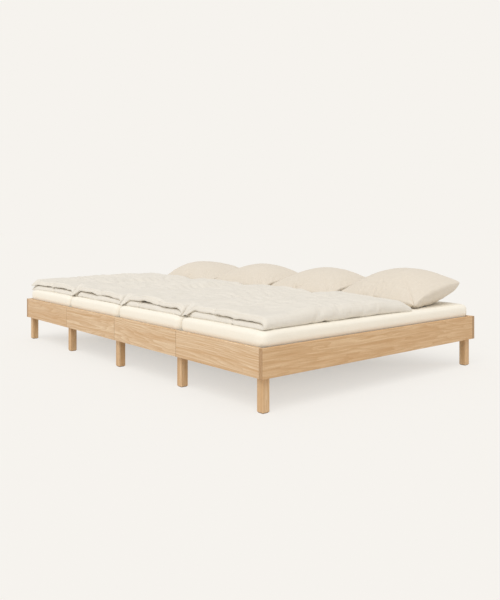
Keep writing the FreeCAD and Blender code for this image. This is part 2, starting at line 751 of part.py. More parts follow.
for place in PLACES:
    duvet = doc.addObject("Part::Feature", f"folded_duvet_{place}")
    duvet.Shape = duvet_form()
    put(duvet, (place_x(place), "-size.mattress_long / 2 + size.duvet_foot_gap", BEDDING_BASE))
    keep(f"duvet_{place}", duvet)
    pillow = doc.addObject("Part::Feature", f"plump_pillow_{place}")
    pillow.Shape = pillow_form()
    pillow_y = f"size.mattress_long / 2 - {PILLOW_ROOM} + size.pillow_deep / 2"
    put(pillow, (place_x(place), pillow_y, BEDDING_BASE))
    keep(f"pillow_{place}", pillow)

doc.recompute()
for item in doc.Objects:
    if "Invalid" in item.State or "Error" in item.State:
        raise RuntimeError(f"{item.Label} failed: {item.State}")
for piece in pieces:
    if piece.Shape.isNull() or not piece.Shape.isValid():
        raise RuntimeError(f"{piece.Label} has no valid shape")

os.makedirs("parts", exist_ok=True)
for piece in pieces:
    piece.Shape.exportStep(f"parts/{piece.Label}.step")
    print(f"{piece.Label}: {len(piece.Shape.Solids)} solids, {piece.Shape.Volume / LITRE:.3f} litres")
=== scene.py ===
# %% [markdown]
# # A family bed, dressed
# The bed is four sleeping places side by side on one oak frame. The frame, its slats and its fittings come
# as finished solids. What is soft comes from this script: mattresses, fitted sheets, folded duvets and
# pillows. Lengths are in metres, X runs across the bed, Y from the foot to the head and Z up.

# %% Load the frame
import math

import bpy
import numpy as np
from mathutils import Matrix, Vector


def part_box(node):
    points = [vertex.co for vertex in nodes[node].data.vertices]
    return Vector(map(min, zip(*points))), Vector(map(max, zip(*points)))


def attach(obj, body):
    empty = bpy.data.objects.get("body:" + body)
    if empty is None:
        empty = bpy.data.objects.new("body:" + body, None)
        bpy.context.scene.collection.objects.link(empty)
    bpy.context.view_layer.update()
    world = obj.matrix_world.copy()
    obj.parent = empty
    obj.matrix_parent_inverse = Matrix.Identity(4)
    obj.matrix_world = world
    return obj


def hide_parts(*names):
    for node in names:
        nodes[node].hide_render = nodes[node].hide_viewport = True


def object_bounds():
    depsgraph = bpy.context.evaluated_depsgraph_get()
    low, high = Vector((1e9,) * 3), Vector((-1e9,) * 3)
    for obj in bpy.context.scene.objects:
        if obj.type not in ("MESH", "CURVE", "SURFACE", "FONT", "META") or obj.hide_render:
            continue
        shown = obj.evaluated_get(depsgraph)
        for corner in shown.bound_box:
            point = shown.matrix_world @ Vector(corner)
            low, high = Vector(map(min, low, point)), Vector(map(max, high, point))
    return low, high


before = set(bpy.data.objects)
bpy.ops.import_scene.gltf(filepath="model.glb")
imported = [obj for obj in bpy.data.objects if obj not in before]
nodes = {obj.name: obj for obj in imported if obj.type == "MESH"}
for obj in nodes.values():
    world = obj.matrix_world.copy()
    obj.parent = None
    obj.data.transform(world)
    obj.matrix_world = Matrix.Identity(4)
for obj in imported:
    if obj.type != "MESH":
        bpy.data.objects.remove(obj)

cad_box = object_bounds()
print("nodes:", len(nodes), "box:", [round(side, 3) for side in cad_box[1] - cad_box[0]])

# %% [markdown]
# ## Measures
# Nothing is placed by eye. Each soft piece takes its size and place from the solid that it stands for, so
# one function that reads a node's box is enough.

# %% Read the boxes of the solids
PLACES = (1, 2, 3, 4)
MM = 0.001
# Stands in for a zero that something is divided by.
TINY = 1e-9


def box_of(node):
    """The middle of a node's underside, its half width, half length and height."""
    low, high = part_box(node)
    size = high - low
    middle = Vector(((low.x + high.x) / 2, (low.y + high.y) / 2, low.z))
    return middle, size.x / 2, size.y / 2, size.z


for place in PLACES:
    print("place", place, "mattress", [round(part, 3) for part in box_of(f"mattress_{place}")[0]])

# %% [markdown]
# ## Nodes of a material
# A material is a small tree of nodes. One function adds a node, sets what is fixed and links the rest.
# Another turns an sRGB hex colour into the linear light that a shader works in.

# %% Add a node
# A mix node has a set of sockets for each kind of data. These are the ones that mix two colours.
SHARE = 0
FIRST = 6
SECOND = 7


def linear(code):
    """An sRGB hex colour as linear RGBA."""
    channels = [int(code[start:start + 2], 16) / 255 for start in (1, 3, 5)]
    bent = [part / 12.92 if part <= 0.04045 else ((part + 0.055) / 1.055) ** 2.4 for part in channels]
    return (*bent, 1.0)


def feed(tree, node, inputs):
    """Fills inputs of a node: a socket or another node's first output is linked, anything else is set."""
    for name, source in inputs.items():
        if isinstance(source, bpy.types.Node):
            source = next(socket for socket in source.outputs if socket.enabled)
        if isinstance(source, bpy.types.NodeSocket):
            tree.links.new(source, node.inputs[name])
        else:
            node.inputs[name].default_value = source


def add(tree, kind, inputs=None, **settings):
    """Adds a node of a kind that the tree has, or of any kind by its full name, and fills its inputs."""
    node = tree.nodes.new(kind if "Node" in kind else tree.bl_idname.replace("Tree", kind))
    for name, setting in settings.items():
        setattr(node, name, setting)
    feed(tree, node, inputs or {})
    return node


def new_material(name):
    """A material, its tree, its main shader and the place of each point on the object."""
    material = bpy.data.materials.new(name)
    material.use_nodes = True
    tree = material.node_tree
    return material, tree, tree.nodes["Principled BSDF"], add(tree, "TexCoord").outputs["Object"]


print("linear mid grey:", round(linear("#808080")[0], 3))

# %% [markdown]
# ## Oiled oak
# Oak is a ring-porous wood. Sawn along the trunk, its growth rings show as long arches, its fibres as fine
# streaks and its large pores as short dark dashes. The wood is drawn as a solid, so that a face, an edge
# and an end of one board agree. Each board of a row was cut from another plank, so the pattern jumps at the
# seams. Oil has darkened the sawn ends at the outer ends of a row. At the seams between boards the same
# darkening is painted shade of the narrow gap between them.

# %% Planks and their oiled ends
GRAIN_TURNS = {"X": (0, 0, 0), "Y": (0, 0, -math.pi / 2), "Z": (0, math.pi / 2, 0)}
PLACE_WIDE = box_of("mattress_3")[0].x - box_of("mattress_2")[0].x
PLANK_JUMP = 0.173
LAST_PLANK = 1.99
LAST_SEAM = 1.5
OIL_AND_SHADE_REACH = 3 * MM


def plank_row(tree, along_grain, plank_long):
    """For four planks in a row: how far the pattern jumps on each, and how far off the nearest seam is."""
    share = add(tree, "Math", {0: along_grain, 1: plank_long}, operation="DIVIDE")
    inner = add(tree, "Clamp", {"Value": share, "Min": -LAST_PLANK, "Max": LAST_PLANK})
    plank = add(tree, "Math", {0: inner}, operation="FLOOR")
    jump = add(tree, "Math", {0: plank, 1: PLANK_JUMP}, operation="MULTIPLY")
    outer = add(tree, "Clamp", {"Value": share, "Min": -LAST_SEAM, "Max": LAST_SEAM})
    away = add(tree, "Math", {0: outer, 1: 0.5}, operation="PINGPONG")
    seam = add(tree, "Math", {0: away, 1: plank_long}, operation="MULTIPLY")
    return add(tree, "CombineXYZ", {"X": jump, "Y": jump, "Z": jump}), seam


def end_oil_and_seam_shade(tree, along_grain, ends, seams, oil_and_shade_share):
    """How much darker the wood is: the given share at a sawn end, from oil, and at a seam, as painted
    shade; none from the reach on.
    """
    gaps = list(seams)
    for end in ends:
        off = add(tree, "Math", {0: along_grain, 1: end}, operation="SUBTRACT")
        gaps.append(add(tree, "Math", {0: off}, operation="ABSOLUTE"))
    nearest = gaps[0]
    for gap in gaps[1:]:
        nearest = add(tree, "Math", {0: nearest, 1: gap}, operation="MINIMUM")
    return add(tree, "MapRange", {"Value": nearest, "From Max": OIL_AND_SHADE_REACH, "To Min": oil_and_shade_share,
                                  "To Max": 0.0})


print("a plank is", round(PLACE_WIDE, 3), "m long")

# %% [markdown]
# The figure is layers of noise, each stretched along the grain. Two of them bend the growth rings, which
# are distances from the heart of the trunk. The rings are drawn about twice as wide as real ones, because
# the camera is too far away for narrower ones to show.

# %% Figure of the oak
OAK_RING = 9 * MM
HEART = (0.31, 0.93, -0.16)
HEART_STRETCH = 30
ARCH_DEEP = 0.07
YEARS_DEEP = 3.0
# For each layer: how far it is stretched along the grain, how wide its marks are across it, and its detail.
OAK_LAYERS = {
    "fibre": (45, 5 * MM, 5),
    "band": (45, 20 * MM, 2),
    "pore": (12, 1.6 * MM, 1),
    "tone": (HEART_STRETCH, 1 / 5, 1),
    "years": (HEART_STRETCH, 1 / 24, 3),
    "arch": (7, 1 / 9, 3),
}


def oak_layers(tree, grain):
    """The noise of every layer."""
    layers = {}
    for layer, (stretch, wide, detail) in OAK_LAYERS.items():
        drawn = add(tree, "Mapping", {"Vector": grain, "Scale": (1 / stretch, 1, 1)})
        layers[layer] = add(tree, "TexNoise", {"Vector": drawn, "Scale": 1 / wide, "Detail": detail})
    return layers


def late_wood(tree, grain, layers):
    """How dark the wood of a growth ring is: pale where a year starts, and darker towards its end."""
    drawn = add(tree, "Mapping", {"Vector": grain, "Scale": (1 / HEART_STRETCH, 1, 1)})
    heart = add(tree, "Mapping", {"Vector": drawn, "Location": HEART})
    off = add(tree, "VectorMath", {0: heart}, operation="LENGTH")
    bent = add(tree, "Math", {0: layers["arch"], 1: ARCH_DEEP, 2: off}, operation="MULTIPLY_ADD")
    rings = add(tree, "Math", {0: bent, 1: OAK_RING}, operation="DIVIDE")
    uneven = add(tree, "Math", {0: layers["years"], 1: YEARS_DEEP, 2: rings}, operation="MULTIPLY_ADD")
    year = add(tree, "Math", {0: uneven}, operation="FRACT")
    return add(tree, "MapRange", {"Value": year, "From Min": 0.1, "To Max": 0.42},
               interpolation_type="SMOOTHSTEP")


print("layers of the oak:", list(OAK_LAYERS))

# %% [markdown]
# Colours go over one another like thin glazes, each where its layer shows. The boards of both ends are
# paler than the rails, as in the picture, so each group of pieces has its own two main tones. The rails'
# darker tones are partly their own wood and partly painted shade of the bed's long side.

# %% Oak, with its grain along one axis
PORE_SHARE = 0.3


def oiled_oak(name, along, pale, dark, first, last, oil_and_shade_share, plank_long=None):
    """Oak with its grain along X, Y or Z, its two main tones, the first and the last node along the grain,
    how much darker oil makes their ends and painted shade makes the seams between planks, and a new plank
    after each length, if given."""
    material, tree, shader, spot = new_material(name)
    axis = "XYZ".index(along)
    ends = (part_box(first)[0][axis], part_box(last)[1][axis])
    grain = add(tree, "Mapping", {"Vector": spot, "Rotation": GRAIN_TURNS[along]})
    along_grain = add(tree, "SeparateXYZ", {0: grain}).outputs["X"]
    seams = []
    if plank_long:
        shift, seam = plank_row(tree, along_grain, plank_long)
        grain = add(tree, "VectorMath", {0: grain, 1: shift})
        seams.append(seam)
    # Oil darkens the sawn ends; the same darkening at the seams between planks is painted shade of their
    # gaps.
    oil_and_seam_shade = end_oil_and_seam_shade(tree, along_grain, ends, seams, oil_and_shade_share)
    layers = oak_layers(tree, grain)
    fibre = layers["fibre"]
    streak = add(tree, "MapRange", {"Value": fibre, "From Min": 0.3, "From Max": 0.7})
    warm = add(tree, "MapRange", {"Value": layers["tone"], "From Min": 0.35, "From Max": 0.65,
                                  "To Max": 0.45})
    band = add(tree, "MapRange", {"Value": layers["band"], "From Min": 0.42, "From Max": 0.72,
                                  "To Max": 0.6})
    late = late_wood(tree, grain, layers)
    pore = add(tree, "MapRange", {"Value": layers["pore"], "From Min": 0.6, "From Max": 0.72})
    dash = add(tree, "Math", {0: pore, 1: PORE_SHARE}, operation="MULTIPLY")
    # The last glaze is oil at the sawn ends and painted shade at the seams between planks.
    glazes = ((streak, dark), (warm, "#CDA474"), (band, "#C79B69"), (late, "#BE915F"), (dash, "#8E6238"),
              (oil_and_seam_shade, "#7F5732"))
    colour = linear(pale)
    for share, glaze in glazes:
        colour = add(tree, "Mix", {SHARE: share, FIRST: colour, SECOND: linear(glaze)}, data_type="RGBA")
    relief = add(tree, "Math", {0: pore, 1: -1.0, 2: fibre}, operation="MULTIPLY_ADD")
    bump = add(tree, "Bump", {"Height": relief, "Strength": 0.25, "Distance": 0.4 * MM})
    matt = add(tree, "MapRange", {"Value": fibre, "To Min": 0.48, "To Max": 0.66})
    feed(tree, shader, {"Base Color": colour, "Roughness": matt, "Normal": bump})
    return material


# Oil gives the eye a warm, half matt wood, whose sheen breaks up over the fibres.
oak_foot = oiled_oak("oiled_oak_foot_boards", "X", "#ECD5B5", "#DDBE98", "foot_board_1", "foot_board_4",
                     0.75, PLACE_WIDE)
oak_head = oiled_oak("oiled_oak_head_boards", "X", "#ECD5B5", "#DDBE98", "head_board_1", "head_board_4",
                     0.5, PLACE_WIDE)
# The rails' tones are partly their own darker oak and partly painted shade of the bed's long side.
shaded_oak_rails = oiled_oak("oiled_oak_rails_painted_shade", "Y", "#E3C39A", "#D0A97D", "side_rail_right", "side_rail_right",
                      0.42)
oak_legs = oiled_oak("oiled_oak_legs", "Z", "#E8CBA4", "#D8B488", "foot_leg_1", "foot_leg_1", 0.42)
print("oak materials:", oak_foot.name, oak_head.name, shaded_oak_rails.name, oak_legs.name)

# %% [markdown]
# ## Planed spruce
# Slats, ledgers and beams are spruce, which stays out of sight. It is paler and yellower than oak, with
# straight narrow rings and no large pores, so bands across the grain and a little fibre are enough.

# %% Spruce, with its grain along one axis
SPRUCE_RING = 4 * MM
SPRUCE_FIBRE = 6 * MM
SPRUCE_STRETCH = 40
# A wave texture of scale 1 repeats every 314 mm.
WAVE_LONG = 0.314


def planed_spruce(name, along):
    """Spruce with its grain along X or Y."""
    material, tree, shader, spot = new_material(name)
    grain = add(tree, "Mapping", {"Vector": spot, "Rotation": GRAIN_TURNS[along]})
    drawn = add(tree, "Mapping", {"Vector": grain, "Scale": (1 / SPRUCE_STRETCH, 1, 1)})
    fibre = add(tree, "TexNoise", {"Vector": drawn, "Scale": 1 / SPRUCE_FIBRE, "Detail": 4})
    rings = add(tree, "TexWave", {"Vector": drawn, "Scale": WAVE_LONG / SPRUCE_RING, "Distortion": 3.0,
                                  "Detail": 1.0, "Detail Scale": 0.4}, bands_direction="Y")
    late = add(tree, "Math", {0: rings.outputs["Fac"], 1: 0.55}, operation="MULTIPLY")
    colour = linear("#EBD6AE")
    for share, glaze in ((fibre, "#DDBF8E"), (late, "#CDA366")):
        colour = add(tree, "Mix", {SHARE: share, FIRST: colour, SECOND: linear(glaze)}, data_type="RGBA")
    bump = add(tree, "Bump", {"Height": fibre, "Strength": 0.2, "Distance": 0.3 * MM})
    feed(tree, shader, {"Base Color": colour, "Normal": bump, "Roughness": 0.62})
    return material


# Planed and bare, spruce gives the eye a dry, pale, even face with fine lines.
spruce_slats = planed_spruce("planed_spruce_slats", "X")
spruce_beams = planed_spruce("planed_spruce_beams", "Y")
print("spruce materials:", spruce_slats.name, spruce_beams.name)

# %% [markdown]
# ## Metal, felt and webbing
# The fittings are zinc-plated steel, the threaded inserts brass. Both scatter light over fine scratches, so
# their roughness varies a little. Felt is pressed wool: short fibres with no direction. The webbing that
# holds the slats together is woven cotton tape with a rib across it.

# %% Small finishes
METAL_GRAIN = 3 * MM
WOOL_FIBRE = 1.2 * MM
WEBBING_RIB = 2.5 * MM


def plated_metal(name, pale, dark, rough):
    """A metal whose colour and roughness vary over grains of a few millimetres."""
    material, tree, shader, spot = new_material(name)
    grain = add(tree, "TexNoise", {"Vector": spot, "Scale": 1 / METAL_GRAIN, "Detail": 3})
    colour = add(tree, "Mix", {SHARE: grain, FIRST: linear(pale), SECOND: linear(dark)}, data_type="RGBA")
    dull = add(tree, "MapRange", {"Value": grain, "To Min": rough - 0.08, "To Max": rough + 0.1})
    feed(tree, shader, {"Base Color": colour, "Roughness": dull, "Metallic": 1.0})
    return material


def fibrous(name, kind, marks, low, high, strength, deep, rough, **settings):
    """A matt material whose colour, from low to high, and relief follow one pattern of noise or waves."""
    material, tree, shader, spot = new_material(name)
    marks = add(tree, kind, {"Vector": spot, **marks}, **settings).outputs["Fac"]
    colour = add(tree, "Mix", {SHARE: marks, FIRST: linear(low), SECOND: linear(high)}, data_type="RGBA")
    bump = add(tree, "Bump", {"Height": marks, "Strength": strength, "Distance": deep})
    feed(tree, shader, {"Base Color": colour, "Normal": bump, "Roughness": rough})
    return material


# Zinc gives the eye a cool, soft gleam, and turned brass a warm and slightly sharper one.
zinc = plated_metal("zinc_plated_steel", "#C9CCCE", "#A3A7AA", 0.36)
brass = plated_metal("turned_brass", "#D9B364", "#B98F45", 0.32)
# Felt swallows light, and the ribs of webbing give a dull, even stripe.
felt = fibrous("pressed_wool_felt", "TexNoise", {"Scale": 1 / WOOL_FIBRE, "Detail": 5, "Distortion": 1.5},
               "#8C7B66", "#5E5040", 0.6, 0.6 * MM, 0.95)
webbing = fibrous("woven_cotton_webbing", "TexWave", {"Scale": WAVE_LONG / WEBBING_RIB, "Distortion": 0.4},
                  "#C9BDA5", "#E8DFCB", 0.5, 0.5 * MM, 0.9, bands_direction="Y")
print("small finishes:", zinc.name, brass.name, felt.name, webbing.name)

# %% [markdown]
# ## Finish the frame
# The solids of the frame have the right shape already, so only their material changes.

# %% Materials of the solids
NODE_FINISHES = {
    oak_foot: ("foot_board",),
    oak_head: ("head_board",),
    shaded_oak_rails: ("side_rail",),
    oak_legs: ("foot_leg", "head_leg"),
    spruce_slats: ("slats_",),
    spruce_beams: ("slat_ledger", "centre_beam"),
    webbing: ("slat_tapes",),
    felt: ("felt_glides",),
    brass: ("threaded_inserts",),
    zinc: ("frame_bolts", "ledger_screws", "slat_screws", "seam_plate", "hanger_screws", "beam_hangers"),
}
finished = 0
for name, node in nodes.items():
    for material, starts in NODE_FINISHES.items():
        if name.startswith(starts):
            for slot in node.material_slots:
                slot.material = material
            finished += 1
print("solids with a new finish:", finished)

# %% [markdown]
# ## Woven cotton
# Sheets, covers and cases are cotton. A plain weave is two sets of threads at right angles, some of them
# thicker than the rest, and washed cloth has small creases that a mesh is too coarse for. Threads follow
# the cloth, so they are laid out on the piece's own UV map, in metres. Real threads are under half a
# millimetre apart; they are drawn 3 mm apart so that they show from a step away. Sewing thread is twisted,
# and the turns of its yarns are drawn 2 mm apart for the same reason.

# %% Cotton
THREAD = 3 * MM
SLUB = 2 * THREAD
SLUB_STRETCH = 30
THREAD_WAYS = {"X": (1, 1 / SLUB_STRETCH, 1), "Y": (1 / SLUB_STRETCH, 1, 1)}
THREAD_GAP = 0.12
CREASE = 45 * MM
YARN_TURN = 2 * MM


def woven_cotton(name, pale, shade, slub_share, crease_deep):
    """Plain woven cotton: its colour, the colour between its threads, its slubs and its washed creases."""
    material, tree, shader, spot = new_material(name)
    flat = add(tree, "UVMap", uv_map="threads")
    threads = {}
    slubs = {}
    for number, (way, stretch) in enumerate(THREAD_WAYS.items()):
        rows = add(tree, "TexWave", {"Vector": flat, "Scale": WAVE_LONG / THREAD, "Distortion": 0.6,
                                     "Detail Scale": 3.0}, bands_direction=way)
        threads[number] = rows.outputs["Fac"]
        drawn = add(tree, "Mapping", {"Vector": flat, "Scale": stretch})
        slubs[number] = add(tree, "TexNoise", {"Vector": drawn, "Scale": 1 / SLUB, "Detail": 3})
    weave = add(tree, "Math", threads, operation="MULTIPLY")
    thick = add(tree, "Math", slubs, operation="ADD")
    uneven = add(tree, "MapRange", {"Value": thick, "From Min": 0.75, "From Max": 1.25,
                                    "To Max": slub_share})
    gaps = add(tree, "Math", {0: weave, 1: -THREAD_GAP, 2: THREAD_GAP}, operation="MULTIPLY_ADD")
    dim = add(tree, "Math", {0: uneven, 1: gaps}, operation="ADD")
    colour = add(tree, "Mix", {SHARE: dim, FIRST: linear(pale), SECOND: linear(shade)}, data_type="RGBA")
    crease = add(tree, "TexNoise", {"Vector": spot, "Scale": 1 / CREASE, "Detail": 4,
                                    "Roughness": 0.55, "Distortion": 0.8})
    soft = add(tree, "Bump", {"Height": crease, "Strength": 1.0, "Distance": crease_deep})
    fine = add(tree, "Bump", {"Height": weave, "Strength": 0.35, "Distance": 0.3 * MM, "Normal": soft})
    feed(tree, shader, {"Base Color": colour, "Normal": fine, "Roughness": 0.88, "Sheen Weight": 0.12,
                        "Sheen Roughness": 0.5})
    return material


# Percale is close and smooth, and gives the eye one clean cream field.
sheet_cotton = woven_cotton("cream_percale_cotton", "#F9F3E6", "#EADDC4", 0.15, 1.0 * MM)
# Washed cotton is slubby and creased, so light breaks up softly over it.
duvet_cotton = woven_cotton("ecru_washed_cotton", "#E9E3D8", "#D3C8B6", 0.22, 1.6 * MM)
pillow_cotton = woven_cotton("warm_ecru_washed_cotton", "#E3D9CA", "#CFC0A9", 0.22, 2.0 * MM)
# Ticking is a stiff, coarse cloth with more slubs and hardly a crease.
ticking = woven_cotton("quilted_mattress_ticking", "#EDE6D8", "#D8CFBC", 0.3, 0.5 * MM)
# Sewing thread shows as a fine, bright dotted line.
thread = fibrous("ecru_sewing_thread", "TexWave", {"Scale": WAVE_LONG / YARN_TURN, "Distortion": 0.5},
                 "#D8CAB0", "#EFE8DA", 0.4, 0.2 * MM, 0.8, bands_direction="DIAGONAL")
print("cotton materials:", sheet_cotton.name, duvet_cotton.name, pillow_cotton.name, ticking.name)

# %% [markdown]
# ## Meshes from points
# Every soft piece starts as rows of points that a formula puts in place, and becomes a plain mesh. Cloth is
# uneven in waves of about one length, and one form passes into the next without a kink, so two small
# formulas give waves and smooth steps.

# %% Mesh helpers
def new_object(name, data):
    """Puts a mesh, a lamp or a camera into the scene."""
    placed = bpy.data.objects.new(name, data)
    bpy.context.scene.collection.objects.link(placed)
    return placed


def mesh_piece(name, points, faces, threads, material):
    """A smooth mesh object whose UV map holds where each point lies in the flat cloth."""
    mesh = bpy.data.meshes.new(name)
    mesh.from_pydata(np.asarray(points).tolist(), [], np.asarray(faces).tolist())
    corner_points = np.empty(len(mesh.loops), np.int32)
    mesh.loops.foreach_get("vertex_index", corner_points)
    layer = mesh.uv_layers.new(name="threads")
    layer.data.foreach_set("uv", np.asarray(threads)[corner_points].astype(np.float32).ravel())
    mesh.polygons.foreach_set("use_smooth", np.ones(len(mesh.polygons), bool))
    mesh.materials.append(material)
    mesh.update()
    return new_object(name, mesh)


def quads(index):
    """Faces between the rows of a grid of point numbers."""
    rows = [index[:-1, :-1], index[:-1, 1:], index[1:, 1:], index[1:, :-1]]
    return np.stack(rows, -1).reshape(-1, 4)


def rim_of(number):
    """The outer numbers of a grid of point numbers, once round."""
    return np.concatenate([number[0, :-1], number[:-1, -1], number[-1, :0:-1], number[:0:-1, 0]])


def points_of(mesh):
    """The points of a mesh as an array."""
    flat = np.empty(len(mesh.vertices) * 3)
    mesh.vertices.foreach_get("co", flat)
    return flat.reshape(-1, 3)


def move_points(piece, points):
    """Puts the points of a piece in new places."""
    piece.data.vertices.foreach_set("co", points.ravel())
    piece.data.update()


def make_plain(piece):
    """Turns the modifiers of a piece into its mesh."""
    graph = bpy.context.evaluated_depsgraph_get()
    mesh = bpy.data.meshes.new_from_object(piece.evaluated_get(graph), depsgraph=graph)
    piece.modifiers.clear()
    piece.data = mesh
    return piece


print("faces in a grid of 3 by 3 points:", len(quads(np.arange(9).reshape(3, 3))))

# %% Waves and smooth steps
def ripples(x, y, wave, seed, count=7):
    """A field of gentle waves of about one length, in seeded directions, around zero."""
    dice = np.random.default_rng(seed)
    total = np.zeros_like(x)
    for _ in range(count):
        turn, phase = dice.uniform(0, 2 * math.pi, 2)
        pace = 2 * math.pi / (wave * dice.uniform(0.7, 1.5))
        total += np.sin(pace * (x * math.cos(turn) + y * math.sin(turn)) + phase)
    return total / math.sqrt(count)


def ease(share):
    """A smooth step from 0 to 1."""
    share = np.clip(share, 0, 1)
    return share * share * (3 - 2 * share)


print("a smooth step at a quarter:", ease(0.25))

# %% [markdown]
# ## Mattresses and fitted sheets
# A mattress is a block with rounded corners and edges, and a fitted sheet is pulled over it so tightly that
# it takes the same form. Both are rings: a rounded outline is repeated at each step down the side, and the
# flat top is filled from the first ring.

# %% Rings of a rounded block
RING_WIDE = 44
RING_LONG = 108
TOP_STEPS = 7
SIDE_STEPS = 10
LOW_STEPS = 4
INNER_CORNER = 15 * MM


def ring(half_wide, half_long, corner):
    """Points round a rectangle with rounded corners, anticlockwise from its low left corner."""
    points = []
    sides = [(RING_WIDE, half_wide, half_long), (RING_LONG, half_long, half_wide)] * 2
    for number, (steps, reach, out) in enumerate(sides):
        facing = math.radians(90 * number - 90)
        bend = corner * math.pi / 4
        straight = 2 * (reach - corner)
        spots = np.arange(steps) / steps * (2 * bend + straight)
        side = np.clip(spots - bend, 0, straight) - straight / 2
        turn = facing + (np.minimum(spots, bend) - bend + np.maximum(spots - bend - straight, 0)) / corner
        x = (out - corner) * math.cos(facing) - side * math.sin(facing) + corner * np.cos(turn)
        y = (out - corner) * math.sin(facing) + side * math.cos(facing) + corner * np.sin(turn)
        points.append(np.stack([x, y], -1))
    return np.concatenate(points)


def arc_steps(steps):
    """Angles of a quarter turn, without its start."""
    return np.arange(1, steps + 1) / steps * math.pi / 2


def block_profile(high, top_round, low_round):
    """Steps down a block's side from its flat top: how far in from the outline, and how high."""
    profile = [(top_round, high)]
    for angle in arc_steps(TOP_STEPS):
        profile.append((top_round * (1 - math.sin(angle)), high - top_round * (1 - math.cos(angle))))
    for z in np.linspace(high - top_round, low_round, SIDE_STEPS)[1:]:
        profile.append((0.0, z))
    for angle in arc_steps(LOW_STEPS):
        profile.append((low_round * (1 - math.cos(angle)), low_round * (1 - math.sin(angle))))
    return profile


def block_rings(half_wide, half_long, corner, profile):
    """All rings of a block, top first, as points."""
    rings = []
    for inset, z in profile:
        outline = ring(half_wide - inset, half_long - inset, max(corner - inset, INNER_CORNER))
        rings.append(np.column_stack([outline, np.full(len(outline), z)]))
    return rings


print("points in a ring:", len(ring(0.4, 1, 0.04)))

# %% [markdown]
# The flat top is a grid whose rim is the first ring. Foam is soft, so its upper corners sag a little, and
# the sides that lie free swell above the boards.

# %% Fill and relax a block
CORNER_SAG = 6 * MM
CORNER_SAG_REACH = 70 * MM
SIDE_SWELL = 13 * MM
SWELL_FROM = 60 * MM
SWELL_RISE = 45 * MM
SWELL_REACH = 0.08


def filled(outline):
    """A grid of points inside a ring, its point numbers, and the numbers of the ring's own points."""
    low = outline[:RING_WIDE + 1]
    right = outline[RING_WIDE:RING_WIDE + RING_LONG + 1]
    high = outline[RING_WIDE + RING_LONG:2 * RING_WIDE + RING_LONG + 1][::-1]
    left = np.concatenate([outline[2 * RING_WIDE + RING_LONG:], outline[:1]])[::-1]
    u = np.linspace(0, 1, RING_WIDE + 1)[None, :, None]
    v = np.linspace(0, 1, RING_LONG + 1)[:, None, None]
    across = (1 - v) * low[None] + v * high[None]
    along = (1 - u) * left[:, None] + u * right[:, None]
    corners = ((1 - u) * (1 - v) * low[0] + u * (1 - v) * low[-1]
               + (1 - u) * v * high[0] + u * v * high[-1])
    number = np.arange((RING_WIDE + 1) * (RING_LONG + 1)).reshape(RING_LONG + 1, RING_WIDE + 1)
    return across + along - corners, number, rim_of(number)


def level_top(outline, high):
    """The points of a flat top at one height, with their numbers and those of its rim."""
    top, number, rim = filled(outline)
    return np.concatenate([top, np.full((*top.shape[:2], 1), high)], -1).reshape(-1, 3), number, rim


def relaxed(points, place, half_wide, half_long, high):
    """Lets the upper corners of a block sag and its free sides swell, as foam in a tight sheet does."""
    points = points.copy()
    x, y, z = points.T
    off = np.hypot(half_wide - np.abs(x), half_long - np.abs(y))
    belly = SIDE_SWELL * ease((z - SWELL_FROM) / SWELL_RISE)
    free = ((x > 0) & (place == PLACES[-1])) | ((x < 0) & (place == PLACES[0]))
    points[:, 0] += np.sign(x) * belly * free * ease((np.abs(x) - half_wide + SWELL_REACH) / SWELL_REACH)
    points[:, 1] += np.sign(y) * belly * ease((np.abs(y) - half_long + SWELL_REACH) / SWELL_REACH)
    points[:, 2] -= CORNER_SAG * np.exp(-(off / CORNER_SAG_REACH) ** 2) * np.clip(z / high, 0, 1)
    return points


def ring_faces(first, others):
    """Faces down from a ring of point numbers through rings that follow one another."""
    rows = [first] + others
    index = np.array([np.append(row, row[0]) for row in rows])
    return quads(index)[:, ::-1]


print("points of a flat top:", len(level_top(ring(0.4, 1, 0.04), 0)[0]))

# %% [markdown]
# A mattress is foam in a sewn ticking. Only its underside shows, through the slats, so that is where the
# ticking is quilted: two sets of seams cross it diagonally.

# %% Build the mattresses
MATTRESS_CORNER = 45 * MM
MATTRESS_TOP_ROUND = 30 * MM
MATTRESS_LOW_ROUND = 12 * MM
QUILT_STEP = 0.12
QUILT_DEEP = 3 * MM
QUILT_FADE = 0.1


def quilted(under, half_wide, half_long):
    """How far the seams of a quilted underside are drawn up, less and less towards its edges."""
    x = under[..., 0]
    y = under[..., 1]
    sewn = np.abs(np.sin(math.pi * (x + y) / QUILT_STEP))
    crossed = np.abs(np.sin(math.pi * (x - y) / QUILT_STEP))
    inside = ease((half_wide - np.abs(x)) / QUILT_FADE) * ease((half_long - np.abs(y)) / QUILT_FADE)
    return QUILT_DEEP * (1 - np.sqrt(sewn * crossed)) * inside


def mattress(place):
    """One foam mattress in its ticking."""
    middle, half_wide, half_long, high = box_of(f"mattress_{place}")
    profile = block_profile(high, MATTRESS_TOP_ROUND, MATTRESS_LOW_ROUND)
    rings = block_rings(half_wide, half_long, MATTRESS_CORNER, profile)
    top, number, rim = level_top(rings[0][:, :2], high)
    under = filled(rings[-1][:, :2])[0]
    lift = quilted(under, half_wide, half_long)
    under = np.concatenate([under, lift[..., None]], -1).reshape(-1, 3)
    count = len(top)
    sides = [count + step * len(rim) + np.arange(len(rim)) for step in range(len(rings) - 2)]
    low_start = count + (len(rings) - 2) * len(rim)
    points = relaxed(np.concatenate([top, *rings[1:-1], under]), place, half_wide, half_long, high)
    faces = np.concatenate([quads(number), ring_faces(rim, sides + [low_start + rim]),
                            quads(low_start + number)[:, ::-1]])
    return mesh_piece(f"mattress_{place}_ticking", points + np.array(middle), faces, points[:, :2], ticking)


for place in PLACES:
    piece = mattress(place)
    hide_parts(f"mattress_{place}")
    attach(piece, f"place_{place}_mattress")
print("faces of a mattress:", len(piece.data.polygons))

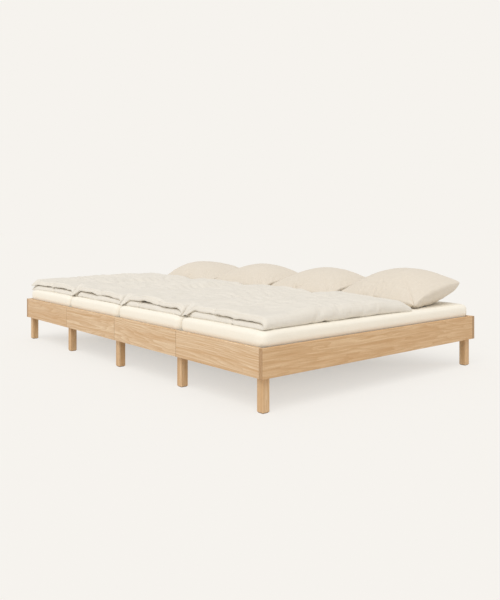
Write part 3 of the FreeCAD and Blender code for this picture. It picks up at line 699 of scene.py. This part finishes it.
# %% [markdown]
# A fitted sheet has a sewn corner over each corner of the mattress and an elastic hem under it, with soft
# puckers above the hem. Its form is the mattress's, one thickness of cloth further out, so a formula serves
# better than a simulation.

# %% Build the fitted sheets
SHEET_THICK = 1 * MM
SHEET_HEM = 70 * MM
HEM_CORNER = 60 * MM
HEM_STEPS = (0.3, 0.65, 1.0)
HEM_FLAT = 4 * MM
PUCKER = 1.2 * MM
PUCKER_TOP = 0.62
PUCKER_SHORT = 0.05
PUCKER_LONG = 0.13


def puckers(points, place, high):
    """How far out the points of a ring lie, in puckers that fade from the hem upwards."""
    x, y, z = points.T
    low = ease((PUCKER_TOP * high - z) / high) * (z > HEM_FLAT)
    wave = ripples(x, y, PUCKER_SHORT, 31 * place) + ripples(x, y, PUCKER_LONG, place)
    return (PUCKER * low * wave - PUCKER * low)[:, None]


def fitted_sheet(place):
    """One sheet, pulled over its mattress, with a hem under it."""
    middle, half_wide, half_long, high = box_of(f"fitted_sheet_{place}")
    corner = MATTRESS_CORNER + SHEET_THICK
    profile = block_profile(high, MATTRESS_TOP_ROUND + SHEET_THICK, MATTRESS_LOW_ROUND + SHEET_THICK)
    rings = block_rings(half_wide, half_long, corner, profile)
    for share in HEM_STEPS:
        inset = SHEET_HEM * share
        outline = ring(half_wide - inset, half_long - inset, HEM_CORNER)
        rings.append(np.column_stack([outline, np.zeros(len(outline))]))
    steps = np.cumsum([0] + [np.linalg.norm(b - a, axis=1).mean() for a, b in zip(rings, rings[1:])])
    top, number, rim = level_top(rings[0][:, :2], high)
    outer = ring(half_wide, half_long, corner)
    way = outer - ring(half_wide - INNER_CORNER, half_long - INNER_CORNER, corner - INNER_CORNER)
    way /= np.linalg.norm(way, axis=1, keepdims=True)
    for points in rings:
        points[:, :2] += way * puckers(points, place, high)
    threads = [top[:, :2]] + [rings[0][:, :2] + way * down for down in steps[1:]]
    count = len(top)
    sides = [count + step * len(rim) + np.arange(len(rim)) for step in range(len(rings) - 1)]
    points = relaxed(np.concatenate([top, *rings[1:]]), place, half_wide, half_long, high)
    faces = np.concatenate([quads(number), ring_faces(rim, sides)])
    threads = np.concatenate(threads)
    points = points + np.array(middle)
    piece = mesh_piece(f"fitted_sheet_{place}_cotton", points, faces, threads, sheet_cotton)
    wall = piece.modifiers.new("cloth thickness", "SOLIDIFY")
    wall.thickness = SHEET_THICK
    wall.offset = -1
    return make_plain(piece)


for place in PLACES:
    piece = fitted_sheet(place)
    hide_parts(f"fitted_sheet_{place}")
    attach(piece, f"place_{place}_mattress")
    low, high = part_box(f"fitted_sheet_{place}")

# %% [markdown]
# ## A sewn cover
# A pillow case and a duvet cover are the same thing: two layers of cloth sewn together round their rim. The
# mesh is two grids that share their rim points. A formula says where each point of a layer lies, so the
# same cover can be blown up into a pillow, or lie folded double, as the duvets do.

# %% Two layers with one rim
def cover_grid(columns, rows):
    """How far each point of a layer lies along the cover's two sides, from 0 to 1."""
    return np.meshgrid(np.linspace(0, 1, columns), np.linspace(0, 1, rows))


def sewn_cover(name, grid, size, shape, material):
    """A closed cover. shape(a, b, side) places points that lie a and b, from 0 to 1, along its sides."""
    a, b = cover_grid(*grid)
    inside = np.zeros(a.shape, bool)
    inside[1:-1, 1:-1] = True
    outer = np.arange(a.size).reshape(a.shape)
    inner = outer.copy()
    inner[inside] = a.size + np.arange(inside.sum())
    points = np.concatenate([shape(a, b, 1).reshape(-1, 3), shape(a, b, -1)[inside]])
    flat = np.stack([a * size[0], b * size[1]], -1)
    threads = np.concatenate([flat.reshape(-1, 2), flat[inside]])
    faces = np.concatenate([quads(outer), quads(inner)[:, ::-1]])
    return mesh_piece(name, points, faces, threads, material)


def seam_distance(grid, size):
    """How far each point of a sewn cover lies from its rim, along the cloth."""
    a, b = cover_grid(*grid)
    reach = np.minimum(np.minimum(a, 1 - a) * size[0], np.minimum(b, 1 - b) * size[1])
    return np.concatenate([reach.ravel(), reach[1:-1, 1:-1].ravel()])


print("from the middle of a square metre to its seam:", seam_distance((3, 3), (1, 1)).max())

# %% [markdown]
# Wrinkles come from cloth simulation: the cloth grows by a few percent, so it has more area than its
# filling needs and buckles. Each point is held softly to its place in the formula, and its move is capped.

# %% Let cloth buckle
FURTHEST = 14 * MM
SIM_FRAMES = 18
COTTON = {"quality": 6, "mass": 0.2, "tension_stiffness": 30, "compression_stiffness": 30,
          "shear_stiffness": 10, "air_damping": 2, "use_pressure": True}


def cloth(piece, pressure, growth, hold, bend):
    """Makes a piece cloth. Each point grows by its growth, and hold is how firmly it keeps its form."""
    modifier = piece.modifiers.new("cloth", "CLOTH")
    settings = modifier.settings
    for name, setting in COTTON.items():
        setattr(settings, name, setting)
    settings.bending_stiffness = bend
    settings.effector_weights.gravity = 0
    settings.uniform_pressure_force = pressure
    form = piece.vertex_groups.new(name="form")
    firm = piece.vertex_groups.new(name="firm")
    form.add(range(len(piece.data.vertices)), hold, "REPLACE")
    for number, share in enumerate(1 - growth / growth.max()):
        firm.add([number], float(share), "REPLACE")
    settings.vertex_group_mass = "form"
    settings.vertex_group_shrink = "firm"
    settings.shrink_min = -float(growth.max())
    settings.shrink_max = 0
    modifier.collision_settings.use_collision = False
    modifier.point_cache.frame_end = SIM_FRAMES


def settle(pieces):
    """Runs the cloth of all pieces together and keeps where their points come to rest, up to FURTHEST."""
    scene = bpy.context.scene
    for number in range(1, SIM_FRAMES + 1):
        scene.frame_set(number)
    graph = bpy.context.evaluated_depsgraph_get()
    rested = [points_of(piece.evaluated_get(graph).data) for piece in pieces]
    for piece, points in zip(pieces, rested):
        start = points_of(piece.data)
        move = points - start
        far = np.linalg.norm(move, axis=1, keepdims=True)
        piece.modifiers.clear()
        piece.vertex_groups.clear()
        move_points(piece, start + move * np.minimum(1, FURTHEST / np.maximum(far, TINY)))
        print(piece.name, "moved", far.mean().round(4), "on average,", far.max().round(4), "at most")
    scene.frame_set(1)


print("frames of a simulation:", SIM_FRAMES)

# %% [markdown]
# A finished piece is smoothed by one step of subdivision. Points that would sink into the mattress, whose
# edge is round, are lifted onto it.

# %% Finish a filled piece
EDGE_ROUND = MATTRESS_TOP_ROUND + SHEET_THICK
BED_GAP = 0.3 * MM


def keep_above(piece, place):
    """Lifts the points of a piece that would sink into its mattress, and counts them."""
    middle, half_wide, half_long, high = box_of(f"fitted_sheet_{place}")
    points = points_of(piece.data)
    x, y, z = points.T
    reach = np.minimum(half_wide - np.abs(x - middle.x), half_long - np.abs(y - middle.y))
    short = np.clip(1 - reach / EDGE_ROUND, 0, 1)
    top = middle.z + high - EDGE_ROUND * (1 - np.sqrt(1 - short ** 2)) + BED_GAP
    over = (reach > 0) & (z < top)
    points[over, 2] = top[over]
    move_points(piece, points)
    return int(over.sum())


def finish_filled(pieces, kind):
    """Finishes the pillows or the duvets, with the solids they stand for and the bodies they ride on."""
    for place, piece in zip(PLACES, pieces):
        piece.modifiers.new("finer", "SUBSURF").levels = 1
        make_plain(piece)
        lifted = keep_above(piece, place)
        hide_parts(f"{kind}_{place}")
        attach(piece, f"place_{place}_{kind}")
        points = points_of(piece.data)
        print(piece.name, "size:", (points.max(0) - points.min(0)).round(3), "lifted:", lifted)


print("round of a dressed mattress edge:", round(EDGE_ROUND, 4))

# %% [markdown]
# ## Pillows
# A pillow is a flat case that its filling blows up into a lens. Its corners stay thin, its underside
# flattens where it rests, and its cloth puckers along the seam. The lens is a formula, because the picture
# gives its outline: each pillow leans to the foot, has its own fullness and crest, and drops at its two
# ends.

# %% Shape the pillows
PILLOW_GRID = (73, 57)
SEAM_RISE = 0.122
HEAD_LIFT = 30 * MM
FOOT_FALL = 72 * MM
FOOT_CORNER_DROP = 20 * MM
END_DROP = {1: (30, 65), 2: (50, 60), 3: (55, 50), 4: (75, -10)}
SIDE_PULL = 0.03
SQUARENESS = 14
CORE_SQUARENESS = 6
EDGE_FULL = 0.24
CORE_FULL = 0.76
CROWN_POWER = 0.78
UNDER_POWER = 0.48
UNDER_FULL = 1.45
REST_SOFT = 9 * MM
LUMP_HIGH = 0.03
LUMP_WIDE = 0.4
PLUMP = {1: 0.83, 2: 0.85, 3: 0.85, 4: 1.0}
CREST = {1: (-0.42, -0.18), 2: (-0.03, -0.03), 3: (0.06, 0.06), 4: (0.04, 0.08)}


def seam_height(place, u, v):
    """How high the seam's surface lies: low at the foot and at the ends of the head side."""
    left_drop, right_drop = END_DROP[place]
    seam = SEAM_RISE + (HEAD_LIFT + FOOT_FALL) / 2 * v + (HEAD_LIFT - FOOT_FALL) / 2 * v ** 2
    seam = seam - np.where(u < 0, left_drop, right_drop) * MM * u ** 2 * (1 + v) / 2
    return seam - FOOT_CORNER_DROP * (u * v) ** 4 * (v < 0)


def fullness(place, u, v):
    """How much filling is under a point, from 0 at the seam to 1 at the crest."""
    push_u, push_v = CREST[place]
    u = u - push_u * (1 - u ** 2)
    v = v - push_v * (1 - v ** 2)
    edge = np.minimum((u ** CORE_SQUARENESS + v ** CORE_SQUARENESS) ** (1 / CORE_SQUARENESS), 1)
    return EDGE_FULL * (1 - edge ** 2) + CORE_FULL * (1 - u ** 2) * (1 - v ** 2)


def filled_case(place):
    """A formula for a filled pillow case in the space of its solid."""
    middle, half_wide, half_long, high = box_of(f"pillow_{place}")

    def shape(a, b, side):
        u = 2 * a - 1
        v = 2 * b - 1
        edge = np.maximum(np.abs(u), np.abs(v))
        round_edge = (np.abs(u) ** SQUARENESS + np.abs(v) ** SQUARENESS) ** (1 / SQUARENESS)
        shrink = np.where(edge > 0, edge / np.maximum(round_edge, TINY), 1)
        x = half_wide * u * shrink * (1 - SIDE_PULL * u ** 2 * (1 - v ** 4))
        y = half_long * v * shrink * (1 - SIDE_PULL * v ** 2 * (1 - u ** 4))
        seam = seam_height(place, u, v)
        full = fullness(place, u, v)
        lumps = 1 + LUMP_HIGH * ripples(x, y, LUMP_WIDE, 17 * place + side)
        crown = (high * PLUMP[place] - SEAM_RISE) * full ** CROWN_POWER * lumps
        under = UNDER_FULL * SEAM_RISE * full ** UNDER_POWER
        z = np.where(side > 0, seam + crown, seam - under)
        z = np.where(z < REST_SOFT, REST_SOFT * np.exp(np.minimum(z - REST_SOFT, 0) / REST_SOFT), z)
        return np.stack([x, y, z], -1) + np.array(middle)
    return shape


print("fullness at a crest:", fullness(2, 0, 0).round(3))

# %% Sew and fill the pillows
CASE_EASE = 2.1
CASE_GROWTH = 0.015
CASE_SEAM_GROWTH = 0.06
CASE_SEAM_REACH = 0.07
pillows = []
for place in PLACES:
    _, half_wide, half_long, _ = box_of(f"pillow_{place}")
    flat = (CASE_EASE * half_wide, CASE_EASE * half_long)
    case = sewn_cover(f"pillow_{place}_case", PILLOW_GRID, flat, filled_case(place), pillow_cotton)
    pillows.append(case)
    off = seam_distance(PILLOW_GRID, flat)
    growth = CASE_GROWTH + CASE_SEAM_GROWTH * np.exp(-off / CASE_SEAM_REACH)
    cloth(case, pressure=0.6, growth=growth, hold=0.25, bend=0.6)
settle(pillows)
finish_filled(pillows, "pillow")

# %% [markdown]
# ## Duvets
# Each duvet is folded double along its length, with the fold to the right and its two open edges one above
# the other on the left and at the foot. The formula walks along the fold: under the lower layer, round the
# fold and back over the upper layer. Layers are thinnest at the foot and where two duvets lie side by side.

# %% Layers of a folded duvet
DUVET_GAP = 6 * MM
LAYER_THIN = 30 * MM
LAYER_SWELL = 13 * MM
SWELL_LONG = 0.5
LAYER_TAPER = 6 * MM
TAPER_LONG = 0.45
SIDE_THIN = 0.42
SIDE_REACH = 0.17
SIDE_FROM = 0.2
SIDE_LONG = 0.5
LOWER_LUMP_HIGH = 0.06
LOWER_LUMP_WIDE = 0.3
LOWER_FULL = 16 * MM
LOWER_FULL_LONG = 0.4
UPPER_EXTRA = 6 * MM
UPPER_LUMP_HIGH = 0.08
UPPER_LUMP_WIDE = 0.35


def layer_heights(place, a, y, wide, long):
    """How thick the lower and the upper layer are at each point."""
    fold_x = a * 2 * wide
    seed = 10 * place
    taper = ease((y - long + TAPER_LONG) / TAPER_LONG)
    layer = LAYER_THIN + LAYER_SWELL * ease(y / SWELL_LONG) - LAYER_TAPER * taper
    from_right = np.abs(2 * a - 1)
    from_left = 1 - from_right
    beside = ease(1 - wide * from_left / SIDE_REACH) * (place != PLACES[0])
    beside = beside + ease(1 - wide * from_right / SIDE_REACH) * (place != PLACES[-1])
    layer = layer * (1 - SIDE_THIN * beside * ease((y - SIDE_FROM) / SIDE_LONG))
    lower = layer * (1 + LOWER_LUMP_HIGH * ripples(fold_x, y, LOWER_LUMP_WIDE, seed))
    lower = lower + LOWER_FULL * from_right * ease(1 - y / LOWER_FULL_LONG)
    upper = (layer + UPPER_EXTRA) * (1 + UPPER_LUMP_HIGH * ripples(fold_x, y, UPPER_LUMP_WIDE, seed + 1))
    return lower, upper


def walk_fold(a, lower, upper, wide):
    """Where the middle of a layer lies across and in height, how far it has turned and how thick it is."""
    low_z = lower / 2
    high_z = lower + DUVET_GAP + upper / 2
    bend = (high_z - low_z) / 2
    body = lower + (upper - lower) * a
    straight = wide - bend - body / 2
    path = a * (2 * straight + math.pi * bend)
    turn = np.clip((path - straight) / bend, 0, math.pi)
    back = np.maximum(path - straight - math.pi * bend, 0)
    x = np.minimum(path, straight) + bend * np.sin(turn) - back
    z = (low_z + high_z) / 2 - bend * np.cos(turn)
    return x, z, turn, body


def nose(reach, roll):
    """How full a layer is at a distance from its seam, if its edge rolls over within a length."""
    return np.sqrt(np.clip(1 - (1 - np.clip(reach / roll, 0, 1)) ** 2, 0, 1))


print("a rolled edge after a tenth of its length:", nose(0.1, 1).round(2))

# %% [markdown]
# Every open edge rolls over and is sewn at its underside. At the foot the upper layer's loose corner hangs
# down over the lower one in a pleat, and at the head the upper layer closes over it. The fold sinks a
# little. The far left duvet hangs out over the free corner of the bed.

# %% Shape the duvets
DUVET_NOSE = 30 * MM
DUVET_SIDE_NOSE = 16 * MM
CLOTH_ROOM = 4 * MM
FLAP_WIDE = 0.13
FLAP_LONG = 0.055
FLAP_DROP = 56 * MM
FLAP_OUT = 20 * MM
FLAP_TUCK = 16 * MM
FLAP_THIN = 0.6
FREE_FLAP = 0.35
PLEAT_WIDE = 0.065
PLEAT_DEEP = 9 * MM
PLEAT_OUT = 13 * MM
HEAD_CLOSE = 0.13
CLOSE_SHARE = 0.85
FOLD_REACH = 0.07
FOLD_SINK = 9 * MM
FOLD_AHEAD = 0.036
FOLD_AHEAD_LONG = 0.2
TIP_REACH = 0.10
TIP_SINK = 20 * MM
TIP_LOWER = 0.3
LOWER_BACK = 0.06
LOWER_BACK_LONG = 0.3
HEM_BACK = 6 * MM
HEM_BACK_LONG = 0.1
HEM_FOOT = 0.13
HEM_HEAD = 0.15
HEM_WAVE = 2 * MM
HEM_WAVE_WIDE = 0.13
TOP_WAVE = 4 * MM
FOOT_WAVE = 3 * MM
FOOT_WAVE_LONG = 0.2
WAVE_WIDE = 0.3
WAVE_DRAWN = 0.3
FLARE_REACH = 0.25
FLARE_SIDE = 40 * MM
FLARE_FOOT = 16 * MM
FLARE_DROP = 12 * MM


def folded_duvet(place):
    """A formula for a duvet that is folded double, in the space of its solid."""
    middle, half_wide, half_long, _ = box_of(f"duvet_{place}")
    half_wide = half_wide - CLOTH_ROOM
    wide = 2 * half_wide
    long = 2 * half_long
    seed = 10 * place
    free = place == PLACES[0]

    def shape(a, b, side):
        y = b * long
        fold_x = a * 2 * wide
        lower, upper = layer_heights(place, a, y, wide, long)
        x, z, turn, body = walk_fold(a, lower, upper, wide)
        top = ease(turn / math.pi)
        flap = ease(1 - x / FLAP_WIDE) * ease(1 - y / FLAP_LONG)
        full = body * nose(np.minimum(b, 1 - b) * long, DUVET_NOSE)
        full = full * nose(np.minimum(a, 1 - a) * 2 * wide, DUVET_SIDE_NOSE)
        full = full * (1 - FLAP_THIN * flap)
        sunk = (body - full) / 2 * np.cos(turn)
        if free:
            flap = FREE_FLAP * flap
        pleat = np.sin(2 * math.pi * x / PLEAT_WIDE + seed) * flap
        close = ease((y - long + HEAD_CLOSE) / HEAD_CLOSE)
        hem = np.exp(-y / HEM_FOOT) + np.exp((y - long) / HEM_HEAD)
        pucker = ripples(fold_x, WAVE_DRAWN * y, HEM_WAVE_WIDE, seed + 4) * hem
        right = ease((x - wide + FOLD_REACH) / FOLD_REACH)
        tip = np.exp(-((wide - x) / TIP_REACH) ** 2 - ((long - y) / TIP_REACH) ** 2)
        wave = ripples(x, WAVE_DRAWN * y, WAVE_WIDE, seed + 2)
        z = z - (FLAP_DROP * flap + PLEAT_DEEP * pleat + (lower + DUVET_GAP) * CLOSE_SHARE * close) * top
        z = z - FOLD_SINK * right - TIP_SINK * tip * (TIP_LOWER + (1 - TIP_LOWER) * top)
        z = z + top * (TOP_WAVE * wave + HEM_WAVE * pucker)
        y = y - (FLAP_OUT * flap + PLEAT_OUT * pleat) * top + FLAP_TUCK * flap * (1 - top)
        y = y + HEM_BACK * ease(1 - y / HEM_BACK_LONG) * top * (1 - flap) * (1 - right)
        back = LOWER_BACK * ease((y - long + LOWER_BACK_LONG) / LOWER_BACK_LONG) * (1 - top)
        ahead = FOLD_AHEAD * right * ease((y - long + FOLD_AHEAD_LONG) / FOLD_AHEAD_LONG)
        y = y - back + ahead
        foot = ease((FOOT_WAVE_LONG - y) / FOOT_WAVE_LONG)
        y = y + FOOT_WAVE * ripples(fold_x, y, WAVE_WIDE, seed + 3) * foot
        x = x + np.sin(turn) * (side * full / 2 + sunk)
        z = z - np.cos(turn) * (side * full / 2 + sunk)
        if free:
            flare = np.exp(-(x / FLARE_REACH) ** 2 - (y / FLARE_REACH) ** 2)
            x = x - FLARE_SIDE * flare
            y = y - FLARE_FOOT * flare
            z = z - FLARE_DROP * flare
        return np.stack([x - half_wide, y - half_long, z], -1) + np.array(middle)
    return shape


print("half width of a folded duvet:", round(box_of("duvet_1")[1] - CLOTH_ROOM, 3))

# %% Sew and fold the duvets
DUVET_GRID = (121, 96)
COVER_GROWTH = 0.022
COVER_SEAM_GROWTH = 0.012
COVER_SEAM_REACH = 0.12
duvets = []
for place in PLACES:
    _, half_wide, half_long, _ = box_of(f"duvet_{place}")
    flat = (4 * half_wide, 2 * half_long)
    cover = sewn_cover(f"duvet_{place}_cover", DUVET_GRID, flat, folded_duvet(place), duvet_cotton)
    cover.data.flip_normals()
    duvets.append(cover)
    off = seam_distance(DUVET_GRID, flat)
    growth = COVER_GROWTH + COVER_SEAM_GROWTH * np.exp(-off / COVER_SEAM_REACH)
    cloth(cover, pressure=0.4, growth=growth, hold=0.3, bend=8.0)
settle(duvets)
finish_filled(duvets, "duvet")

# %% [markdown]
# ## Stitches
# A case and a cover are closed by a row of stitches about a centimetre from the seam. The same short piece
# of thread repeats along a path on the cloth, which is work for Geometry Nodes: one tree lays stitches on
# any path. Real stitches are 3 mm long; they are drawn 5 mm long, in thicker thread, so that they show.

# %% A tree that sews
WIRE_SIDES = 6


def new_tree(name, numbers):
    """A Geometry Nodes tree with named number inputs and a material, its inputs and its end."""
    tree = bpy.data.node_groups.new(name, "GeometryNodeTree")
    for label, kind in {"Geometry": "Geometry", **numbers, "Material": "Material"}.items():
        tree.interface.new_socket(label, in_out="INPUT", socket_type=f"NodeSocket{kind}")
    tree.interface.new_socket("Geometry", in_out="OUTPUT", socket_type="NodeSocketGeometry")
    print("inputs of", name, list(numbers))
    return tree, add(tree, "NodeGroupInput").outputs, add(tree, "NodeGroupOutput")


def finish_tree(tree, given, end, instances):
    """Ends a tree: instances become a mesh with the given material."""
    real = add(tree, "RealizeInstances", {0: instances})
    painted = add(tree, "SetMaterial", {"Geometry": real, "Material": given["Material"]})
    feed(tree, end, {0: painted})


def grow(name, points, edges, tree, settings):
    """Makes a piece from points by a tree, whose inputs are set by their identifiers."""
    mesh = bpy.data.meshes.new(name)
    mesh.from_pydata(np.asarray(points).tolist(), edges, [])
    piece = new_object(name, mesh)
    modifier = piece.modifiers.new(tree.name, "NODES")
    modifier.node_group = tree
    for item in tree.interface.items_tree:
        if item.in_out == "INPUT" and item.name in settings:
            modifier[item.identifier] = settings[item.name]
    return make_plain(piece)


sewing, given, end = new_tree("stitch_row", {"Stitch length": "Float", "Stitch step": "Float",
                                             "Thread radius": "Float"})
path = add(sewing, "MeshToCurve", {"Mesh": given["Geometry"]})
steps = add(sewing, "ResampleCurve", {"Curve": path, "Length": given["Stitch step"]}, mode="LENGTH")
tangent = add(sewing, "InputTangent")
facing = add(sewing, "FunctionNodeAlignRotationToVector", {"Vector": tangent}, axis="Z")
stitch = add(sewing, "MeshCylinder", {"Vertices": WIRE_SIDES, "Radius": given["Thread radius"],
                                      "Depth": given["Stitch length"]})
laid = add(sewing, "InstanceOnPoints", {"Points": steps, "Instance": stitch, "Rotation": facing})
finish_tree(sewing, given, end, laid)

# %% Sew the cases and covers
STITCH_LONG = 5 * MM
STITCH_STEP = 8 * MM
THREAD_HALF = 0.7 * MM


def sew(name, piece, grid):
    """A row of stitches on the outer layer of a sewn piece, one row of points in from its rim."""
    columns, rows = grid
    row = rim_of(np.arange(columns * rows).reshape(rows, columns)[1:-1, 1:-1])
    points = points_of(piece.data)[row]
    edges = [(number, (number + 1) % len(points)) for number in range(len(points))]
    settings = {"Stitch length": STITCH_LONG, "Stitch step": STITCH_STEP, "Thread radius": THREAD_HALF,
                "Material": thread}
    return grow(name, points, edges, sewing, settings)


SEWN = {"pillow": (pillows, PILLOW_GRID), "duvet": (duvets, DUVET_GRID)}
for number, place in enumerate(PLACES):
    for kind, (pieces, grid) in SEWN.items():
        row = sew(f"{kind}_{place}_stitches", pieces[number], grid)
        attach(row, f"place_{place}_{kind}")
        print(row.name, "faces:", len(row.data.polygons))

# %% [markdown]
# ## Staples
# Under the bed, each tape is held to each slat by two staples. Only their backs show, so a staple is one
# short wire. A second tree places a column of staples on every tape from the point where that tape starts.

# %% A tree that staples
stapling, given, end = new_tree("staple_rows", {"Slats": "Int", "Slat step": "Float",
                                                "Pair spacing": "Float", "Staple length": "Float",
                                                "Wire radius": "Float"})
slat_way = add(stapling, "ShaderNodeCombineXYZ", {"Y": given["Slat step"]})
pair_way = add(stapling, "ShaderNodeCombineXYZ", {"Y": given["Pair spacing"]})
column = add(stapling, "MeshLine", {"Count": given["Slats"], "Offset": slat_way}, mode="OFFSET")
pair = add(stapling, "MeshLine", {"Count": 2, "Offset": pair_way}, mode="OFFSET")
spots = given["Geometry"]
for row in (column, pair):
    repeated = add(stapling, "InstanceOnPoints", {"Points": spots, "Instance": row})
    spots = add(stapling, "RealizeInstances", {0: repeated})
wire = add(stapling, "MeshCylinder", {"Vertices": WIRE_SIDES, "Radius": given["Wire radius"],
                                      "Depth": given["Staple length"]})
staples = add(stapling, "InstanceOnPoints", {"Points": spots, "Instance": wire,
                                             "Rotation": (0, math.pi / 2, 0)})
finish_tree(stapling, given, end, staples)

# %% Staple the tapes
STAPLE_LONG = 11 * MM
STAPLE_HALF = 0.6 * MM
STAPLE_PAIR = 26 * MM
SLAT_COUNT = 16
SLAT_WIDE = 80 * MM
TAPE_OFF = 0.22
starts = []
for place in PLACES:
    low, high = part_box(f"slats_{place}")
    tape_low, tape_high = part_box(f"slat_tapes_{place}")
    slat_step = (high.y - low.y - SLAT_WIDE) / (SLAT_COUNT - 1)
    first = low.y + (SLAT_WIDE - STAPLE_PAIR) / 2
    middle = (tape_low.x + tape_high.x) / 2
    starts += [(middle + side * TAPE_OFF, first, tape_low.z) for side in (-1, 1)]
piece = grow("slat_tape_staples", starts, [], stapling,
             {"Slats": SLAT_COUNT, "Slat step": slat_step, "Pair spacing": STAPLE_PAIR,
              "Staple length": STAPLE_LONG, "Wire radius": STAPLE_HALF, "Material": zinc})
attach(piece, "bed_frame")
print("staple faces:", len(piece.data.polygons), "slat step:", round(slat_step, 4))

# %% [markdown]
# ## Floor, light and camera
# The picture has one plain pale ground with a soft shadow. The floor shows the ground's colour by itself
# and takes part of its brightness from the lamps. That part grows from the bed's outline inwards, so the
# shadow is deepest under the middle and stays pale at the edge, as in the picture.

# %% Floor
GROUND = "#F6F3EE"
DEEP_SHADOW = 0.42
EDGE_SHADOW = 0.17
DEEP_IN = 0.6
EDGE_OUT = 0.15
FLOOR_REACH = 60.0
SEEN_RAYS = ("Is Camera Ray", "Is Glossy Ray", "Is Transmission Ray")


def shown(tree):
    """1 where the camera, a gloss or a clear surface shows what the tree belongs to."""
    rays = add(tree, "LightPath").outputs
    share = rays[SEEN_RAYS[0]]
    for name in SEEN_RAYS[1:]:
        share = add(tree, "Math", {0: share, 1: rays[name]}, operation="MAXIMUM")
    return share


material, tree, shader, spot = new_material("pale_ground")
tree.nodes.remove(shader)
matt = add(tree, "BsdfDiffuse", {"Color": linear(GROUND)})
glow = add(tree, "Emission", {"Color": linear(GROUND)})
off = add(tree, "VectorMath", {0: spot}, operation="ABSOLUTE")
beyond = add(tree, "VectorMath", {0: off, 1: cad_box[1]}, operation="SUBTRACT")
sides = add(tree, "SeparateXYZ", {0: beyond}).outputs
out = add(tree, "Math", {0: sides["X"], 1: sides["Y"]}, operation="MAXIMUM")
bright = add(tree, "MapRange", {"Value": out, "From Min": -DEEP_IN, "From Max": EDGE_OUT,
                                "To Min": 1 - DEEP_SHADOW, "To Max": 1 - EDGE_SHADOW})
share = add(tree, "Math", {0: shown(tree), 1: bright}, operation="MULTIPLY")
mixed = add(tree, "MixShader", {0: share, 1: matt, 2: glow})
feed(tree, tree.nodes["Material Output"], {"Surface": mixed})
corners = [(FLOOR_REACH * x, FLOOR_REACH * y, 0) for x, y in ((-1, -1), (1, -1), (1, 1), (-1, 1))]
floor_mesh = bpy.data.meshes.new("floor")
floor_mesh.from_pydata(corners, [], [(0, 1, 2, 3)])
floor_mesh.materials.append(material)
floor = new_object("floor", floor_mesh)
print("nodes of the floor:", len(tree.nodes))

# %% [markdown]
# One wide sun from the foot end and an even sky light the bed at a plain level, like a studio with one
# large lamp. The sky shows the camera the ground's colour, so no horizon is seen.

# %% Sky and sun
SKY = 0.61
SUN_FROM = Vector((0.32, -0.52, 0.83))
SUN_POWER = 1.55
SUN_WIDE = math.radians(40)
world = bpy.data.worlds.new("plain_sky")
bpy.context.scene.world = world
world.use_nodes = True
tree = world.node_tree
colour = add(tree, "Mix", {SHARE: shown(tree), FIRST: (SKY, SKY, SKY, 1), SECOND: linear(GROUND)},
             data_type="RGBA")
feed(tree, tree.nodes["Background"], {"Color": colour})
sun = bpy.data.lights.new("soft_sun", "SUN")
sun.energy = SUN_POWER
sun.angle = SUN_WIDE
new_object("soft_sun", sun).rotation_euler = SUN_FROM.to_track_quat("Z", "Y").to_euler()
bpy.context.scene.view_settings.view_transform = "Standard"
print("light: sky", SKY, "and sun", SUN_POWER)

# %% [markdown]
# The camera was fitted to the seams, corners and legs in the picture. It stands level, and its lens is
# shifted so that uprights stay upright.

# %% Camera
PHOTO_HIGH = 600
FOCAL_PIXELS = 669.4
HORIZON_ROW = 225.5
SENSOR = 36.0
CAMERA_AT = (4.358, -3.406, 1.029)
CAMERA_TURN = math.radians(50.01)
camera = bpy.data.cameras.new("photo_camera")
camera.sensor_width = SENSOR
camera.lens = FOCAL_PIXELS * SENSOR / PHOTO_HIGH
camera.shift_y = (HORIZON_ROW - PHOTO_HIGH / 2) / PHOTO_HIGH
camera_object = new_object("photo_camera", camera)
camera_object.location = CAMERA_AT
camera_object.rotation_euler = (math.radians(90), 0, CAMERA_TURN)
bpy.context.scene.camera = camera_object
print("lens:", round(camera.lens, 2), "mm")
